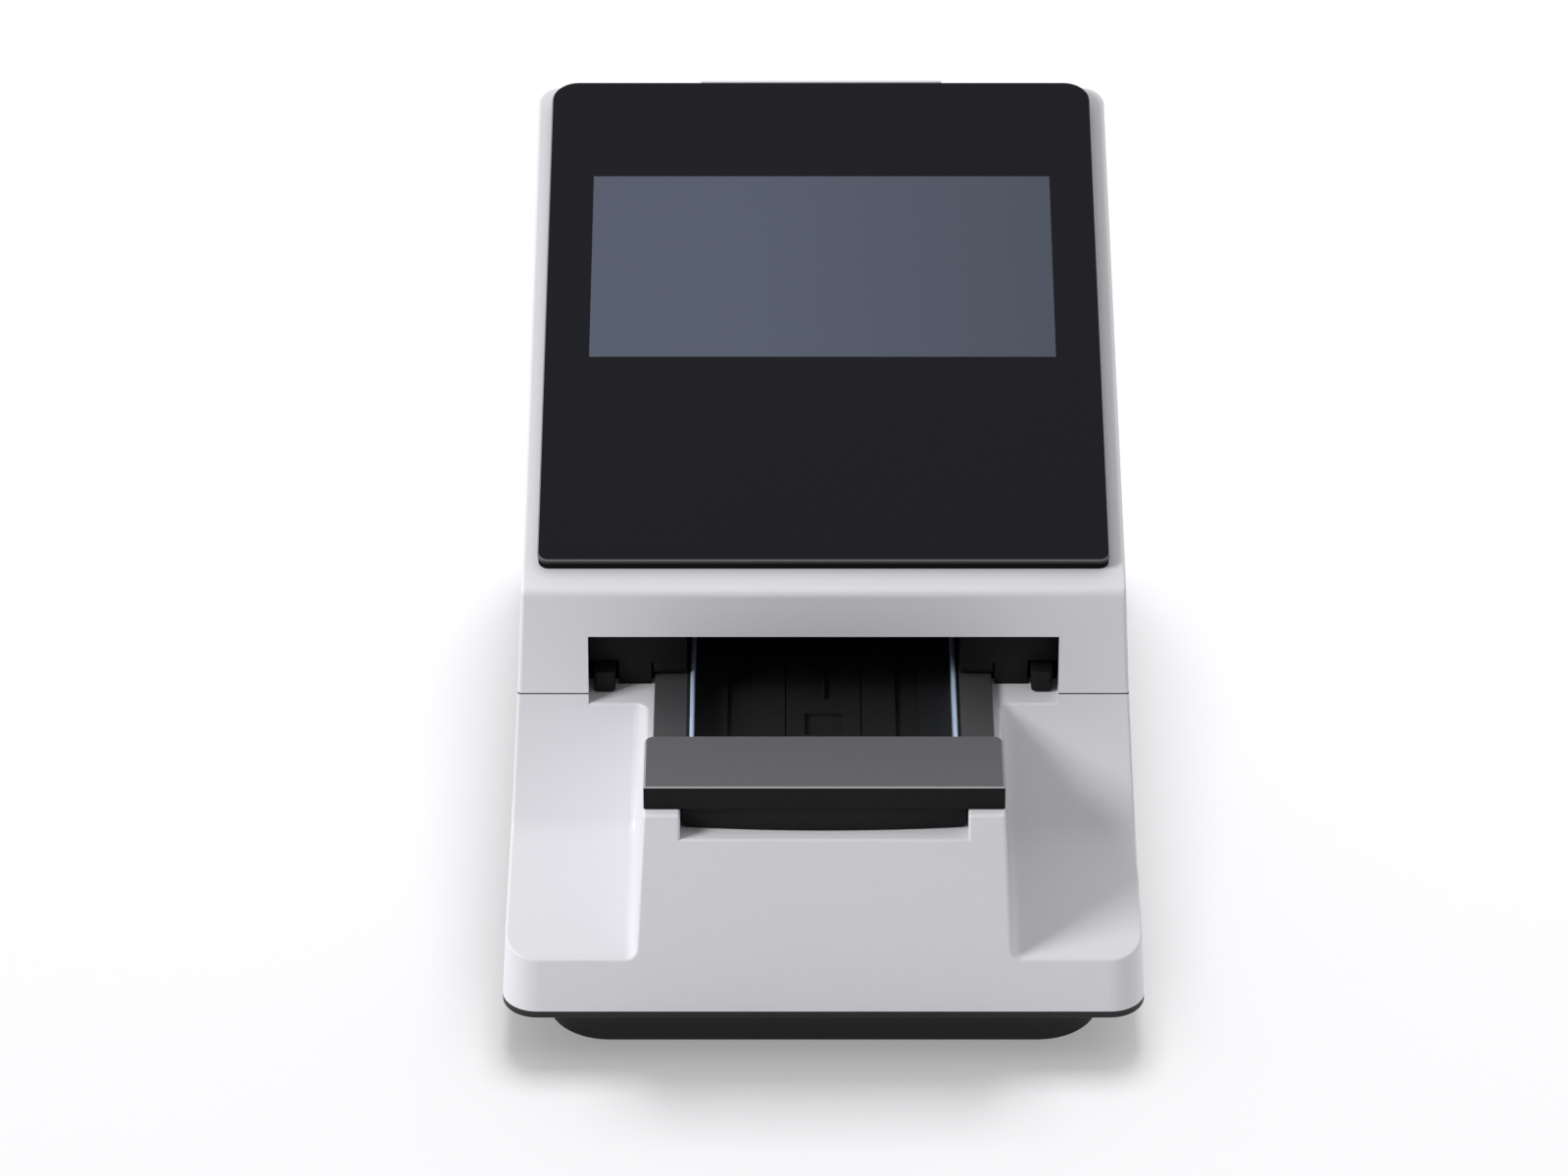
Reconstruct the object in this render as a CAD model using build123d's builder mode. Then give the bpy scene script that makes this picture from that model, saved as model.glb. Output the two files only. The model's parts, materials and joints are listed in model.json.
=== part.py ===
from build123d import *
import math
import os

os.makedirs("parts", exist_ok=True)

# All lengths are in millimetres and all angles in degrees
# X is to the right of the front view, Y runs from the front to the rear, Z is up

# Overall sizes and clearances: the width follows from the opening, the depth from the glass
opening_width = 151.5
opening_height = 23.4
glass_length = 224.5
foot_height = 2.0
skirt_height = 14.0
flange_thickness = 2.8
lower_height = 76.3
wall = 2.5
gap = 0.3
shaft_play = 0.05
belt_play = 0.15

# Base pan and feet
base_corner = 11.3
flange_edge = 0.8
skirt_side_inset = 14.25
skirt_front_inset = 8.0
skirt_rear_inset = 14.0
skirt_corner = 20.0
foot_radius = 8.5
foot_seat = 1.0
foot_edge = 0.8
foot_inset_x = 18.0
foot_inset_y = 22.0

# Lower housing: drafts, deck, side pockets and finger notch
side_draft = 3.3
front_draft = 3.0
seam_corner = 9.0
deck_drop = 3.6
block_width = 114.0
block_flare = 3.1
lip_rise = 19.2
knee_setback = 50.0
knee_rise = 34.9
knee_radius = 14.0
pocket_hollow = 3.1
pocket_fillet = 4.0
rim_edge = 0.9
seam_gap = 0.3
seam_depth = 0.5
notch_width = 91.0
notch_depth = 8.8
trough_floor = 2.2
ledge_depth = 14.4
rear_opening_inset = 10.5
rear_opening_height = 30.0
rear_opening_rise = 9.2

# Tower and screen slope
tower_setback = 69.6
tower_lean = 3.2
crease_rise = 36.4
tower_hollow = 0.8
tower_edge = 1.2
crease_edge = 3.0
screen_angle = 15.1
top_inset = 6.1
top_corner = 8.0

# Case screws and the columns that take them
case_screw_inset = 5.5
case_screw_height = 11.0
boss_radius = 3.5
column_inset = 11.0
column_front_setback = 95.0
column_rear_inset = 21.0
column_radius = 4.5
column_bore = 3.1
column_web = 4.0
column_room = 1.5
tower_screw_length = 13.0
tower_boss_height = 14.0
screw_radius = 1.4
screw_head_radius = 2.8
screw_head_height = 1.8
board_screw_length = 7.0
small_screw_radius = 0.9
small_screw_length = 3.2
small_head_radius = 1.8
small_head_height = 1.2

# Front glass and display
glass_side_margin = 4.95
glass_start = 9.84
glass_rear_margin = 2.9
glass_thickness = 1.5
glass_top_corner = 9.0
glass_bottom_corner = 3.6
glass_edge = 0.4
tape_thickness = 2.8
tape_inset = 0.3
window_length = 86.0
window_side_margin = 14.95
window_rear_margin = 46.6
pane_play = 0.05
lcd_side_border = 3.5
lcd_end_border = 4.5
lcd_thickness = 7.5
lcd_play = 0.8
display_boss_radius = 3.0
display_boss_offset = 5.5
bracket_thickness = 1.2
bracket_hole_length = 34.0
bracket_hole_width = 12.0
ribbon_width = 30.0
ribbon_thickness = 0.5

# Chassis and boards
post_radius = 4.0
post_inset_x = 30.0
post_inset_y = 40.0
chassis_side_inset = 10.5
chassis_front_inset = 16.0
chassis_rear_inset = 10.0
chassis_thickness = 1.5
chassis_lift = 3.2
chassis_corner = 3.0
standoff_height = 8.0
standoff_radius = 2.6
standoff_inset = 4.0
board_thickness = 1.6
board_rear_inset = 4.5
board_gap = 5.0
board_room = 1.0
main_board_width = 96.0
main_board_depth = 110.0
power_board_depth = 94.0
chip_size = 26.0
chip_height = 2.4
memory_length = 16.0
memory_width = 11.0
memory_height = 1.2
plug_depth = 5.0
plug_height = 4.0
battery_radius = 10.0
battery_height = 4.2
transformer_length = 26.0
transformer_width = 24.0
transformer_height = 20.0
capacitor_radius = 6.3
capacitor_height = 22.0
coil_radius = 9.0
coil_height = 9.0

# Sockets and the power switch
rear_panel_lap = 3.0
rear_panel_thickness = 2.0
inlet_offset = 22.0
inlet_width = 9.0
inlet_height = 11.0
inlet_depth = 14.0
inlet_bore = 3.1
inlet_pin = 1.0
inlet_bore_depth = 9.5
lan_inset = 16.0
lan_width = 16.2
lan_height = 13.5
lan_depth = 21.0
lan_mouth = 11.8
lan_mouth_height = 6.8
lan_floor = 4.0
lan_latch = 1.8
usb_width = 14.6
usb_height = 15.6
usb_depth = 17.5
usb_mouth = 12.5
usb_mouth_height = 5.1
usb_mouth_depth = 11.0
usb_tongue = 1.8
serial_inset = 24.0
serial_width = 31.0
serial_height = 12.6
serial_depth = 11.0
serial_shell = 17.0
serial_shell_height = 8.4
serial_shell_wall = 0.5
serial_reach = 4.0
serial_pin = 0.5
serial_pin_pitch = 2.77
switch_inset = 4.0
switch_width = 13.0
switch_height = 20.4
switch_depth = 19.0
switch_flange = 1.0
switch_flange_thickness = 2.0
switch_wall = 1.15
rocker_width = 10.0
rocker_half_height = 7.8
rocker_rise = 5.2
rocker_dip = 2.0
rocker_back = 2.5
rocker_tilt = 9.0
rocker_pin = 1.0
rocker_pin_reach = 1.0
rocker_inset = 7.0

# Drawer
handle_setback = 7.4
handle_depth = 30.7
handle_thickness = 7.5
handle_lean = 8.0
handle_corner = 3.0
handle_edge = 0.9
arm_inset = 2.5
arm_thickness = 2.5
arm_bar = 4.0
drawer_length = 151.9
drawer_front_setback = 10.4
drawer_front_bulge = 2.1
drawer_front_thickness = 3.1
drawer_front_play = 0.4
drawer_front_corner = 2.0
tray_side_play = 1.7
tray_wall = 0.9
tray_floor = 1.6
tray_pad = 1.4
tray_rib_width = 0.8
tray_groove_inner = 23.3
tray_groove_outer = 31.0
tray_middle = 12.0
centre_rib_setback = 79.7
centre_rib_length = 20.0
dimple_width = 12.1
dimple_length = 12.8
dimple_setback = 58.8
rail_width = 1.4
rail_edge = 0.5
rail_stand = 3.8
rail_setback = 42.0
reference_size = 10.0
reference_setback = 137.0
reference_thickness = 0.8

# Drawer guide and the black bezel in the opening
guide_wall = 2.2
shelf_lap = 5.05
shelf_rear_lap = 8.0
side_plate = 1.5
side_plate_width = 26.0
guide_leg = 6.0
guide_leg_offset = 1.5
guide_leg_setbacks = (98.0, 162.0)
bezel_setback = 80.5
bezel_thickness = 2.5
bezel_lap = 3.25
bezel_play = 1.0
bezel_height = 26.5
bezel_slot_height = 9.0
bezel_middle_height = 8.0
bezel_window_play = 0.2
bezel_window_height = 20.5

# Strip pusher and its belt drive
pusher_side_play = 1.55
pusher_width = 7.0
pusher_height = 5.0
pusher_lift = 0.5
pusher_setback = 75.3
pusher_length = 116.7
pusher_bar = 6.0
pusher_bar_lift = 4.5
nose_length = 8.0
nose_height = 7.2
nose_edge = 1.5
clamp_setback = 150.0
clamp_length = 8.0
clamp_jaw = 2.5
clamp_back = 1.5
clamp_play = 1.1
pulley_radius = 6.0
pulley_width = 6.0
pulley_flange = 0.5
pulley_flange_height = 1.3
pulley_gap = 0.5
pulley_bore = 1.5
belt_thickness = 0.8
belt_width = 4.6
feed_drop = 16.5
feed_front_setback = 112.0
feed_rear_setback = 215.0
motor_radius = 10.0
motor_shaft = 1.0
feed_motor_length = 22.0
motor_edge = 0.8

# Reading head and its belt drive
optics_margin = 6.0
optics_length = 58.0
optics_lift = 28.5
optics_plate = 2.0
cheek_thickness = 2.5
body_room = 11.0
cheek_foot = 12.0
guide_shaft_radius = 3.0
guide_shaft_inset = 6.0
head_setback = 124.0
head_width = 30.0
head_depth = 26.0
head_height = 18.0
head_lift = 7.5
head_edge = 1.0
lens_radius = 5.0
lens_length = 3.0
lens_recess = 2.0
head_board_thickness = 1.2
head_pulley_inset = 11.5
head_pulley_gap = 13.0
head_pulley_drop = 10.7
head_clamp_width = 12.0
head_motor_length = 16.0

# Receipt printer
cover_width = 82.5
cover_height = 75.0
cover_thickness = 2.2
cover_play = 0.35
cover_rise = 2.6
cover_edge = 1.5
cover_pin = 1.0
hinge_pin_reach = 2.2
knuckle_radius = 2.2
slot_inset = 4.8
ear_width = 3.9
ear_depth = 5.5
ear_height = 7.0
roll_radius = 22.0
roll_width = 57.5
roll_core = 6.0
roll_inset = 34.0
roll_drop = 34.0
cradle_room = 2.0
bay_half_width = 31.0
bay_wall = 2.0
bay_front_rise = 22.3
bay_sill = 4.5
bay_head_rise = 7.5
bay_head_depth = 25.0
bay_rear_inset = 4.8
bay_flange_half = 52.0
bay_flange_drop = 56.4
platen_radius = 5.0
platen_length = 59.0
platen_shaft = 1.5
platen_inset = 10.5
platen_drop = 18.4
print_head_thickness = 4.0
print_head_height = 12.0
gear_module = 0.6
gear_width = 4.0
gear_gap = 1.0
platen_teeth = 16
idler_teeth = 30
pinion_teeth = 12
idler_angle = 240.0
pinion_angle = 240.0
gear_plate_thickness = 1.5
gear_plate_inset = 40.0
gear_post_radius = 1.5
gear_posts = ((-25.5, -26.0), (2.5, -26.0), (-12.0, 4.0))
printer_motor_radius = 9.0
printer_motor_length = 14.0

# Heights, from the floor up
flange_bottom = foot_height + skirt_height
housing_bottom = flange_bottom + flange_thickness
seam_z = housing_bottom + lower_height
deck_z = seam_z - deck_drop
trough_z = deck_z - notch_depth
chassis_z = housing_bottom + chassis_lift
chassis_top = chassis_z + chassis_thickness
board_z = chassis_top + standoff_height
board_top = board_z + board_thickness

# Widths, from the opening outwards past the pusher, its belt and the optics frame
opening_half = opening_width / 2
pusher_outer = opening_half - pusher_side_play
pusher_inner = pusher_outer - pusher_width
shelf_outer = opening_half + shelf_lap
feed_pulley_x = shelf_outer + pulley_gap
feed_belt_x = feed_pulley_x + (pulley_width - belt_width) / 2
clamp_outer = feed_belt_x + belt_width + gap + clamp_back
cheek_inner = clamp_outer + clamp_play
cheek_outer = cheek_inner + cheek_thickness
body_width = 2 * (cheek_outer + body_room)
top_width = body_width - 2 * top_inset
glass_width = top_width - 2 * glass_side_margin
window_width = glass_width - 2 * window_side_margin
lcd_width = window_width + 2 * lcd_side_border
lcd_length = window_length + 2 * lcd_end_border

# Widths of the drawer, from the notch and the centre block
trough_half = notch_width / 2
tray_half_width = trough_half - tray_side_play
handle_half = block_width / 2
arm_outer = handle_half - arm_inset

# Places along the depth, and the plane of the screen slope
slope = math.radians(screen_angle)
crease_setback = tower_setback + tower_lean
screen_length = glass_start + glass_length + glass_rear_margin
body_depth = crease_setback + screen_length * math.cos(slope)
window_start = glass_start + glass_length - window_rear_margin - window_length
front_y = -body_depth / 2
rear_y = body_depth / 2
inner_rear_y = rear_y - wall
tower_y = front_y + tower_setback
crease_y = front_y + crease_setback
crease_z = seam_z + crease_rise
rear_top_z = crease_z + (rear_y - crease_y) * math.tan(slope)
screen = Plane(
    origin=(0, crease_y, crease_z),
    x_dir=(1, 0, 0),
    z_dir=(0, -math.sin(slope), math.cos(slope)),
)


def behind(setback):
    """Place along Y of something that lies setback behind the front edge."""
    return front_y + setback


def block(x_range, y_range, z_range, mode=Mode.ADD):
    """A box between two limits on each axis, in the part being made."""
    sizes = [high - low for low, high in (x_range, y_range, z_range)]
    middle = [(low + high) / 2 for low, high in (x_range, y_range, z_range)]
    with Locations(tuple(middle)):
        return Box(*sizes, mode=mode)


def both_sides(inner, outer):
    """The two X ranges of a piece that lies inner to outer from the middle."""
    return [(inner, outer), (-outer, -inner)]


def around(middle, width):
    """The range of a given width around a middle."""
    return (middle - width / 2, middle + width / 2)


# Base pan: a wide flange over a narrower closed skirt
skirt_width = body_width - 2 * skirt_side_inset
skirt_depth = body_depth - skirt_front_inset - skirt_rear_inset
skirt_y = (skirt_front_inset - skirt_rear_inset) / 2
foot_places = [
    (side * (skirt_width / 2 - foot_inset_x), skirt_y + end * (skirt_depth / 2 - foot_inset_y))
    for side in (-1, 1)
    for end in (-1, 1)
]
post_places = [
    (side * (skirt_width / 2 - post_inset_x), skirt_y + end * (skirt_depth / 2 - post_inset_y))
    for side in (-1, 1)
    for end in (-1, 1)
]
case_screw_places = [
    (side * (body_width / 2 - case_screw_inset), end * (body_depth / 2 - column_inset - skirt_corner))
    for side in (-1, 1)
    for end in (-1, 0, 1)
]
column_x = body_width / 2 - column_inset
column_places = [
    (side * column_x, y)
    for side in (-1, 1)
    for y in (behind(column_front_setback), rear_y - column_rear_inset)
]
with BuildPart() as base_pan:
    with BuildSketch(Plane.XY.offset(flange_bottom)):
        RectangleRounded(body_width, body_depth, base_corner)
    extrude(amount=flange_thickness)
    fillet(base_pan.edges().group_by(Axis.Z)[0], flange_edge)
    with BuildSketch(Plane.XY.offset(foot_height)):
        with Locations((0, skirt_y)):
            RectangleRounded(skirt_width, skirt_depth, skirt_corner)
    extrude(amount=skirt_height)
    with BuildSketch(Plane.XY.offset(foot_height + wall)):
        with Locations((0, skirt_y)):
            RectangleRounded(skirt_width - 2 * wall, skirt_depth - 2 * wall, skirt_corner - wall)
    extrude(amount=housing_bottom - foot_height, mode=Mode.SUBTRACT)
    with BuildSketch(Plane.XY.offset(foot_height)):
        with Locations(*post_places):
            Circle(post_radius)
    extrude(amount=chassis_z - foot_height)
    with BuildSketch(Plane.XY.offset(chassis_top - board_screw_length)):
        with Locations(*post_places):
            Circle(screw_radius)
    extrude(amount=board_screw_length, mode=Mode.SUBTRACT)
    with BuildSketch(Plane.XY.offset(foot_height)):
        with Locations(*foot_places):
            Circle(foot_radius)
    extrude(amount=foot_seat, mode=Mode.SUBTRACT)
    with BuildSketch(Plane.XY.offset(flange_bottom)):
        with Locations(*case_screw_places):
            Circle(screw_radius + gap)
    extrude(amount=flange_thickness, mode=Mode.SUBTRACT)
base_pan.part.label = "base_pan"
export_step(base_pan.part, "parts/base_pan.step")

# Four round rubber feet, seated in shallow recesses of the pan
with BuildPart() as rubber_feet:
    with BuildSketch():
        with Locations(*foot_places):
            Circle(foot_radius)
    extrude(amount=foot_height + foot_seat)
    chamfer(rubber_feet.edges().group_by(Axis.Z)[0], foot_edge)
rubber_feet.part.label = "rubber_feet"
export_step(rubber_feet.part, "parts/rubber_feet.step")


def body_section(height, inset):
    """Outline of the lower housing at a height, moved in by inset."""
    rise = height - housing_bottom
    width = body_width - 2 * rise * math.tan(math.radians(side_draft)) - 2 * inset
    front = front_y + rise * math.tan(math.radians(front_draft)) + inset
    back = rear_y - inset
    corner = base_corner + (seam_corner - base_corner) * rise / lower_height - inset
    with BuildSketch(Plane.XY.offset(height)) as section:
        with Locations((0, (front + back) / 2)):
            RectangleRounded(width, back - front, corner)
    return section.sketch


def front_profile(grow):
    """Side view of the space in front of the pockets and of the tower wall.

    It runs from the pocket lip to the knee, then in two hollow arcs to the seam
    and to the crease under the screen. For the inside it is grown by a wall.
    """
    lip = Vector(behind(lip_rise * math.tan(math.radians(front_draft))), housing_bottom + lip_rise)
    knee = Vector(behind(knee_setback), housing_bottom + knee_rise)
    seam_point = Vector(tower_y, seam_z)
    crease = Vector(crease_y, crease_z)
    reach = base_corner + knee_radius
    start = lip + (lip - knee).normalized() * reach
    top = crease_z + reach
    with BuildSketch(Plane.YZ) as profile:
        with BuildLine():
            Line(start, knee)
            SagittaArc(knee, seam_point, -pocket_hollow)
            SagittaArc(seam_point, crease, -tower_hollow)
            Polyline(crease, (crease.X, top), (start.X, top), start)
        make_face()
        fillet(profile.vertices().sort_by_distance(knee)[0], knee_radius)
        if grow:
            offset(amount=grow, kind=Kind.INTERSECTION)
    return profile.sketch


def front_relief(grow, corner):
    """The solid taken away in front of the tower, on and beside the centre block."""
    top = deck_z - grow
    half = block_width / 2 - grow
    flare = top * math.tan(math.radians(block_flare))
    with BuildPart() as relief:
        extrude(front_profile(grow), amount=body_width, both=True)
        with BuildSketch(Plane.XZ):
            with BuildLine():
                Polyline((-half, top), (half, top), (half + flare, 0), (-half - flare, 0), close=True)
            make_face()
        extrude(amount=body_depth, both=True, mode=Mode.SUBTRACT)
        if corner:
            inner_edges = [
                edge
                for edge in relief.edges()
                if half - gap < abs(edge.center().X) < half + flare
                and edge.center().Z < top - gap
                and edge.center().Y > front_y - corner
                and abs(edge.start_point().X - edge.end_point().X) < flare
            ]
            fillet(inner_edges, corner)
    return relief.part


# Lower housing: a tapered shell, with a centre deck between two side pockets
ledge_end = tower_y + ledge_depth
lip_z = housing_bottom + lip_rise
front_lean = (deck_z - housing_bottom) * math.tan(math.radians(front_draft))
board_limit = column_x - column_radius - board_room
rear_opening_width = 2 * (board_limit - rear_opening_inset)
rear_opening_z = housing_bottom + rear_opening_rise + rear_opening_height / 2
with BuildPart() as lower_cavity:
    loft([body_section(housing_bottom - 1, wall), body_section(seam_z + 1, wall)], ruled=True)
    add(front_relief(wall, 0), mode=Mode.SUBTRACT)
    block(
        (-opening_half - wall, opening_half + wall),
        (front_y, ledge_end),
        (deck_z - wall, seam_z + 2),
        mode=Mode.SUBTRACT,
    )
    block(
        (-trough_half - wall, trough_half + wall),
        (front_y, ledge_end),
        (trough_z - trough_floor, seam_z),
        mode=Mode.SUBTRACT,
    )
with BuildPart() as seam_groove:
    with BuildSketch(Plane.XY.offset(seam_z)):
        Rectangle(body_width, body_depth + 2)
    extrude(amount=-seam_gap)
    extrude(body_section(seam_z, seam_depth), amount=-seam_gap, mode=Mode.SUBTRACT)
    block((-body_width / 2, body_width / 2), (front_y, tower_y + seam_depth), (seam_z - seam_gap, seam_z))
with BuildPart() as lower_housing:
    loft([body_section(housing_bottom, 0), body_section(seam_z, 0)], ruled=True)
    add(front_relief(0, pocket_fillet), mode=Mode.SUBTRACT)
    block((-opening_half, opening_half), (front_y, ledge_end), (deck_z, seam_z + 1), mode=Mode.SUBTRACT)
    block(
        (-trough_half, trough_half), (front_y - 1, ledge_end), (trough_z, deck_z + 1), mode=Mode.SUBTRACT
    )
    rim_edges = [
        edge
        for edge in lower_housing.edges()
        if edge.center().Z > lip_z - gap
        and edge.center().Y < tower_y - pocket_fillet
        and (
            edge.center().Y < front_y + 2 * front_lean
            or abs(edge.center().X) > column_x
            or abs(edge.center().Z - deck_z) < gap
        )
    ]
    fillet(rim_edges, rim_edge)
    add(seam_groove.part, mode=Mode.SUBTRACT)
    add(lower_cavity.part, mode=Mode.SUBTRACT)
    with BuildSketch(Plane.XY.offset(housing_bottom)):
        with Locations(*case_screw_places):
            Circle(boss_radius)
    extrude(amount=case_screw_height + screw_radius)
    with BuildSketch(Plane.XY.offset(housing_bottom)):
        with Locations(*column_places):
            Circle(column_radius)
    extrude(amount=lower_height)
    with BuildSketch(Plane.XY.offset(housing_bottom)):
        with Locations(*case_screw_places):
            Circle(screw_radius)
    extrude(amount=case_screw_height, mode=Mode.SUBTRACT)
    with BuildSketch(Plane.XY.offset(housing_bottom)):
        with Locations(*column_places):
            Circle(column_bore)
    extrude(amount=lower_height - column_web, mode=Mode.SUBTRACT)
    with BuildSketch(Plane.XY.offset(seam_z - column_web)):
        with Locations(*column_places):
            Circle(screw_radius + gap)
    extrude(amount=column_web, mode=Mode.SUBTRACT)
    block(
        around(0, rear_opening_width),
        (inner_rear_y - 1, rear_y + 1),
        around(rear_opening_z, rear_opening_height),
        mode=Mode.SUBTRACT,
    )
lower_housing.part.label = "lower_housing"
export_step(lower_housing.part, "parts/lower_housing.step")

# Upper housing: the tower shell, ruled from the seam up to the screen slope
cover_x = cover_width / 2 + cover_play
cover_bottom_z = rear_top_z - cover_height
hinge_z = cover_bottom_z + knuckle_radius + gap
hinge_y = rear_y - knuckle_radius
slot_y = rear_y - slot_inset
lcd_middle = window_start + window_length / 2
display_boss_span = lcd_length + 2 * display_boss_offset
display_boss_places = [
    (side * (lcd_width / 2 + display_boss_offset), lcd_middle + end * display_boss_span / 2)
    for side in (-1, 1)
    for end in (-1, 1)
]
lcd_bottom = tape_thickness - lcd_thickness
bracket_bottom = lcd_bottom - bracket_thickness


def tower_section(inset):
    """Foot of the tower at the seam, moved in by inset and run ahead of the wall."""
    seam_width = body_width - 2 * lower_height * math.tan(math.radians(side_draft))
    ahead = behind(tower_setback / 2)
    below = 1 if inset else 0
    with BuildSketch(Plane.XY.offset(seam_z - below)) as section:
        with Locations((0, (ahead + rear_y - inset) / 2)):
            RectangleRounded(seam_width - 2 * inset, rear_y - inset - ahead, seam_corner - inset)
    return section.sketch


def slope_section(inset):
    """Outline of the screen slope, moved in and down by inset."""
    ahead = -(tower_setback / 2) / math.cos(slope)
    end = screen_length + inset * math.tan(slope) - inset / math.cos(slope)
    with BuildSketch(screen.offset(-inset)) as section:
        with Locations((0, (ahead + end) / 2)):
            RectangleRounded(top_width - 2 * inset, end - ahead, top_corner - inset)
    return section.sketch


with BuildPart() as tower_cavity:
    loft([tower_section(wall), slope_section(wall)], ruled=True)
    extrude(front_profile(wall), amount=body_width, both=True, mode=Mode.SUBTRACT)
    with BuildSketch(screen.offset(-wall)):
        with Locations(*display_boss_places):
            Circle(display_boss_radius)
    extrude(amount=lcd_bottom + wall, mode=Mode.SUBTRACT)
    for x_range in both_sides(cover_x, cover_x + ear_width):
        block(x_range, (rear_y - ear_depth, rear_y), around(hinge_z, ear_height), mode=Mode.SUBTRACT)
    for x, y in column_places:
        edge_x = math.copysign(body_width / 2, x)
        inner_x = x - math.copysign(column_radius, x)
        block(
            (min(inner_x, edge_x), max(inner_x, edge_x)),
            around(y, 2 * column_radius),
            (seam_z - 2, seam_z + tower_boss_height),
            mode=Mode.SUBTRACT,
        )
with BuildPart() as upper_housing:
    loft([tower_section(0), slope_section(0)], ruled=True)
    extrude(front_profile(0), amount=body_width, both=True, mode=Mode.SUBTRACT)
    fillet(
        upper_housing.edges().filter_by(Axis.X).sort_by_distance((0, crease_y, crease_z))[0], crease_edge
    )
    slope_edges = [
        edge
        for edge in upper_housing.edges()
        if abs((edge.center() - screen.origin).dot(screen.z_dir)) < gap
        and edge.center().Y > crease_y + crease_edge
    ]
    corner_edges = [
        edge
        for edge in upper_housing.edges()
        if abs(edge.center().X) > top_width / 2 - 1
        and edge.center().Y < crease_y
        and edge.center().Z > seam_z + 1
    ]
    fillet(slope_edges + corner_edges, tower_edge)
    add(tower_cavity.part, mode=Mode.SUBTRACT)
    block(
        (-opening_half, opening_half),
        (front_y, ledge_end),
        (seam_z - 1, deck_z + opening_height),
        mode=Mode.SUBTRACT,
    )
    with BuildSketch(screen):
        with Locations((0, lcd_middle)):
            Rectangle(lcd_width + 2 * lcd_play, lcd_length + 2 * lcd_play)
    extrude(amount=-wall - 1, mode=Mode.SUBTRACT)
    block((-cover_x, cover_x), (slot_y, rear_y + 1), (cover_bottom_z, rear_top_z + 1), mode=Mode.SUBTRACT)
    with BuildSketch(Plane.YZ):
        with Locations((hinge_y, hinge_z)):
            Circle(cover_pin + shaft_play)
    extrude(amount=cover_x + hinge_pin_reach, both=True, mode=Mode.SUBTRACT)
    with BuildSketch(Plane.XY.offset(seam_z)):
        with Locations(*column_places):
            Circle(screw_radius)
    extrude(amount=tower_screw_length - column_web, mode=Mode.SUBTRACT)
    with BuildSketch(screen.offset(lcd_bottom)):
        with Locations(*display_boss_places):
            Circle(small_screw_radius)
    extrude(amount=small_screw_length - bracket_thickness, mode=Mode.SUBTRACT)
upper_housing.part.label = "upper_housing"
export_step(upper_housing.part, "parts/upper_housing.step")

# Case screws: six up through the flange, four up through the columns
with BuildPart() as case_screws:
    for places, seat, length in (
        (case_screw_places, flange_bottom, flange_thickness + case_screw_height),
        (column_places, seam_z - column_web, tower_screw_length),
    ):
        with BuildSketch(Plane.XY.offset(seat)):
            with Locations(*places):
                Circle(screw_head_radius)
        extrude(amount=-screw_head_height)
        with BuildSketch(Plane.XY.offset(seat)):
            with Locations(*places):
                Circle(screw_radius)
        extrude(amount=length)
case_screws.part.label = "case_screws"
export_step(case_screws.part, "parts/case_screws.step")

# Front glass: a black printed pane with larger upper corners, on a thick frame of foam tape
glass_middle = glass_start + glass_length / 2


def glass_outline(inset):
    """Outline of the front glass, moved in by inset."""
    with BuildSketch() as outline:
        with Locations((0, glass_middle)):
            Rectangle(glass_width - 2 * inset, glass_length - 2 * inset)
        fillet(outline.vertices().group_by(Axis.Y)[-1], glass_top_corner - inset)
        fillet(outline.vertices().group_by(Axis.Y)[0], glass_bottom_corner - inset)
    return outline.sketch


with BuildPart() as glass_tape:
    with BuildSketch(screen):
        add(glass_outline(tape_inset))
        with Locations((0, lcd_middle)):
            Rectangle(lcd_width + 2 * lcd_play, lcd_length + 2 * lcd_play, mode=Mode.SUBTRACT)
    extrude(amount=tape_thickness)
glass_tape.part.label = "glass_tape"
export_step(glass_tape.part, "parts/glass_tape.step")

with BuildPart() as front_glass:
    with BuildSketch(screen.offset(tape_thickness)):
        add(glass_outline(0))
    extrude(amount=glass_thickness)
    chamfer(front_glass.faces().sort_by(Axis(screen.origin, screen.z_dir))[-1].edges(), glass_edge)
    with BuildSketch(screen.offset(tape_thickness)):
        with Locations((0, lcd_middle)):
            Rectangle(window_width, window_length)
    extrude(amount=glass_thickness, mode=Mode.SUBTRACT)
front_glass.part.label = "front_glass"
export_step(front_glass.part, "parts/front_glass.step")

# Clear window of the touch screen, flush with the black print around it
with BuildPart() as display_window:
    with BuildSketch(screen.offset(tape_thickness)):
        with Locations((0, lcd_middle)):
            Rectangle(window_width - 2 * pane_play, window_length - 2 * pane_play)
    extrude(amount=glass_thickness)
display_window.part.label = "display_window"
export_step(display_window.part, "parts/display_window.step")

# Display module under the window, held by a steel bracket below the bosses
with BuildPart() as lcd_module:
    with BuildSketch(screen.offset(lcd_bottom)):
        with Locations((0, lcd_middle)):
            Rectangle(lcd_width, lcd_length)
    extrude(amount=lcd_thickness)
lcd_module.part.label = "lcd_module"
export_step(lcd_module.part, "parts/lcd_module.step")

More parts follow.
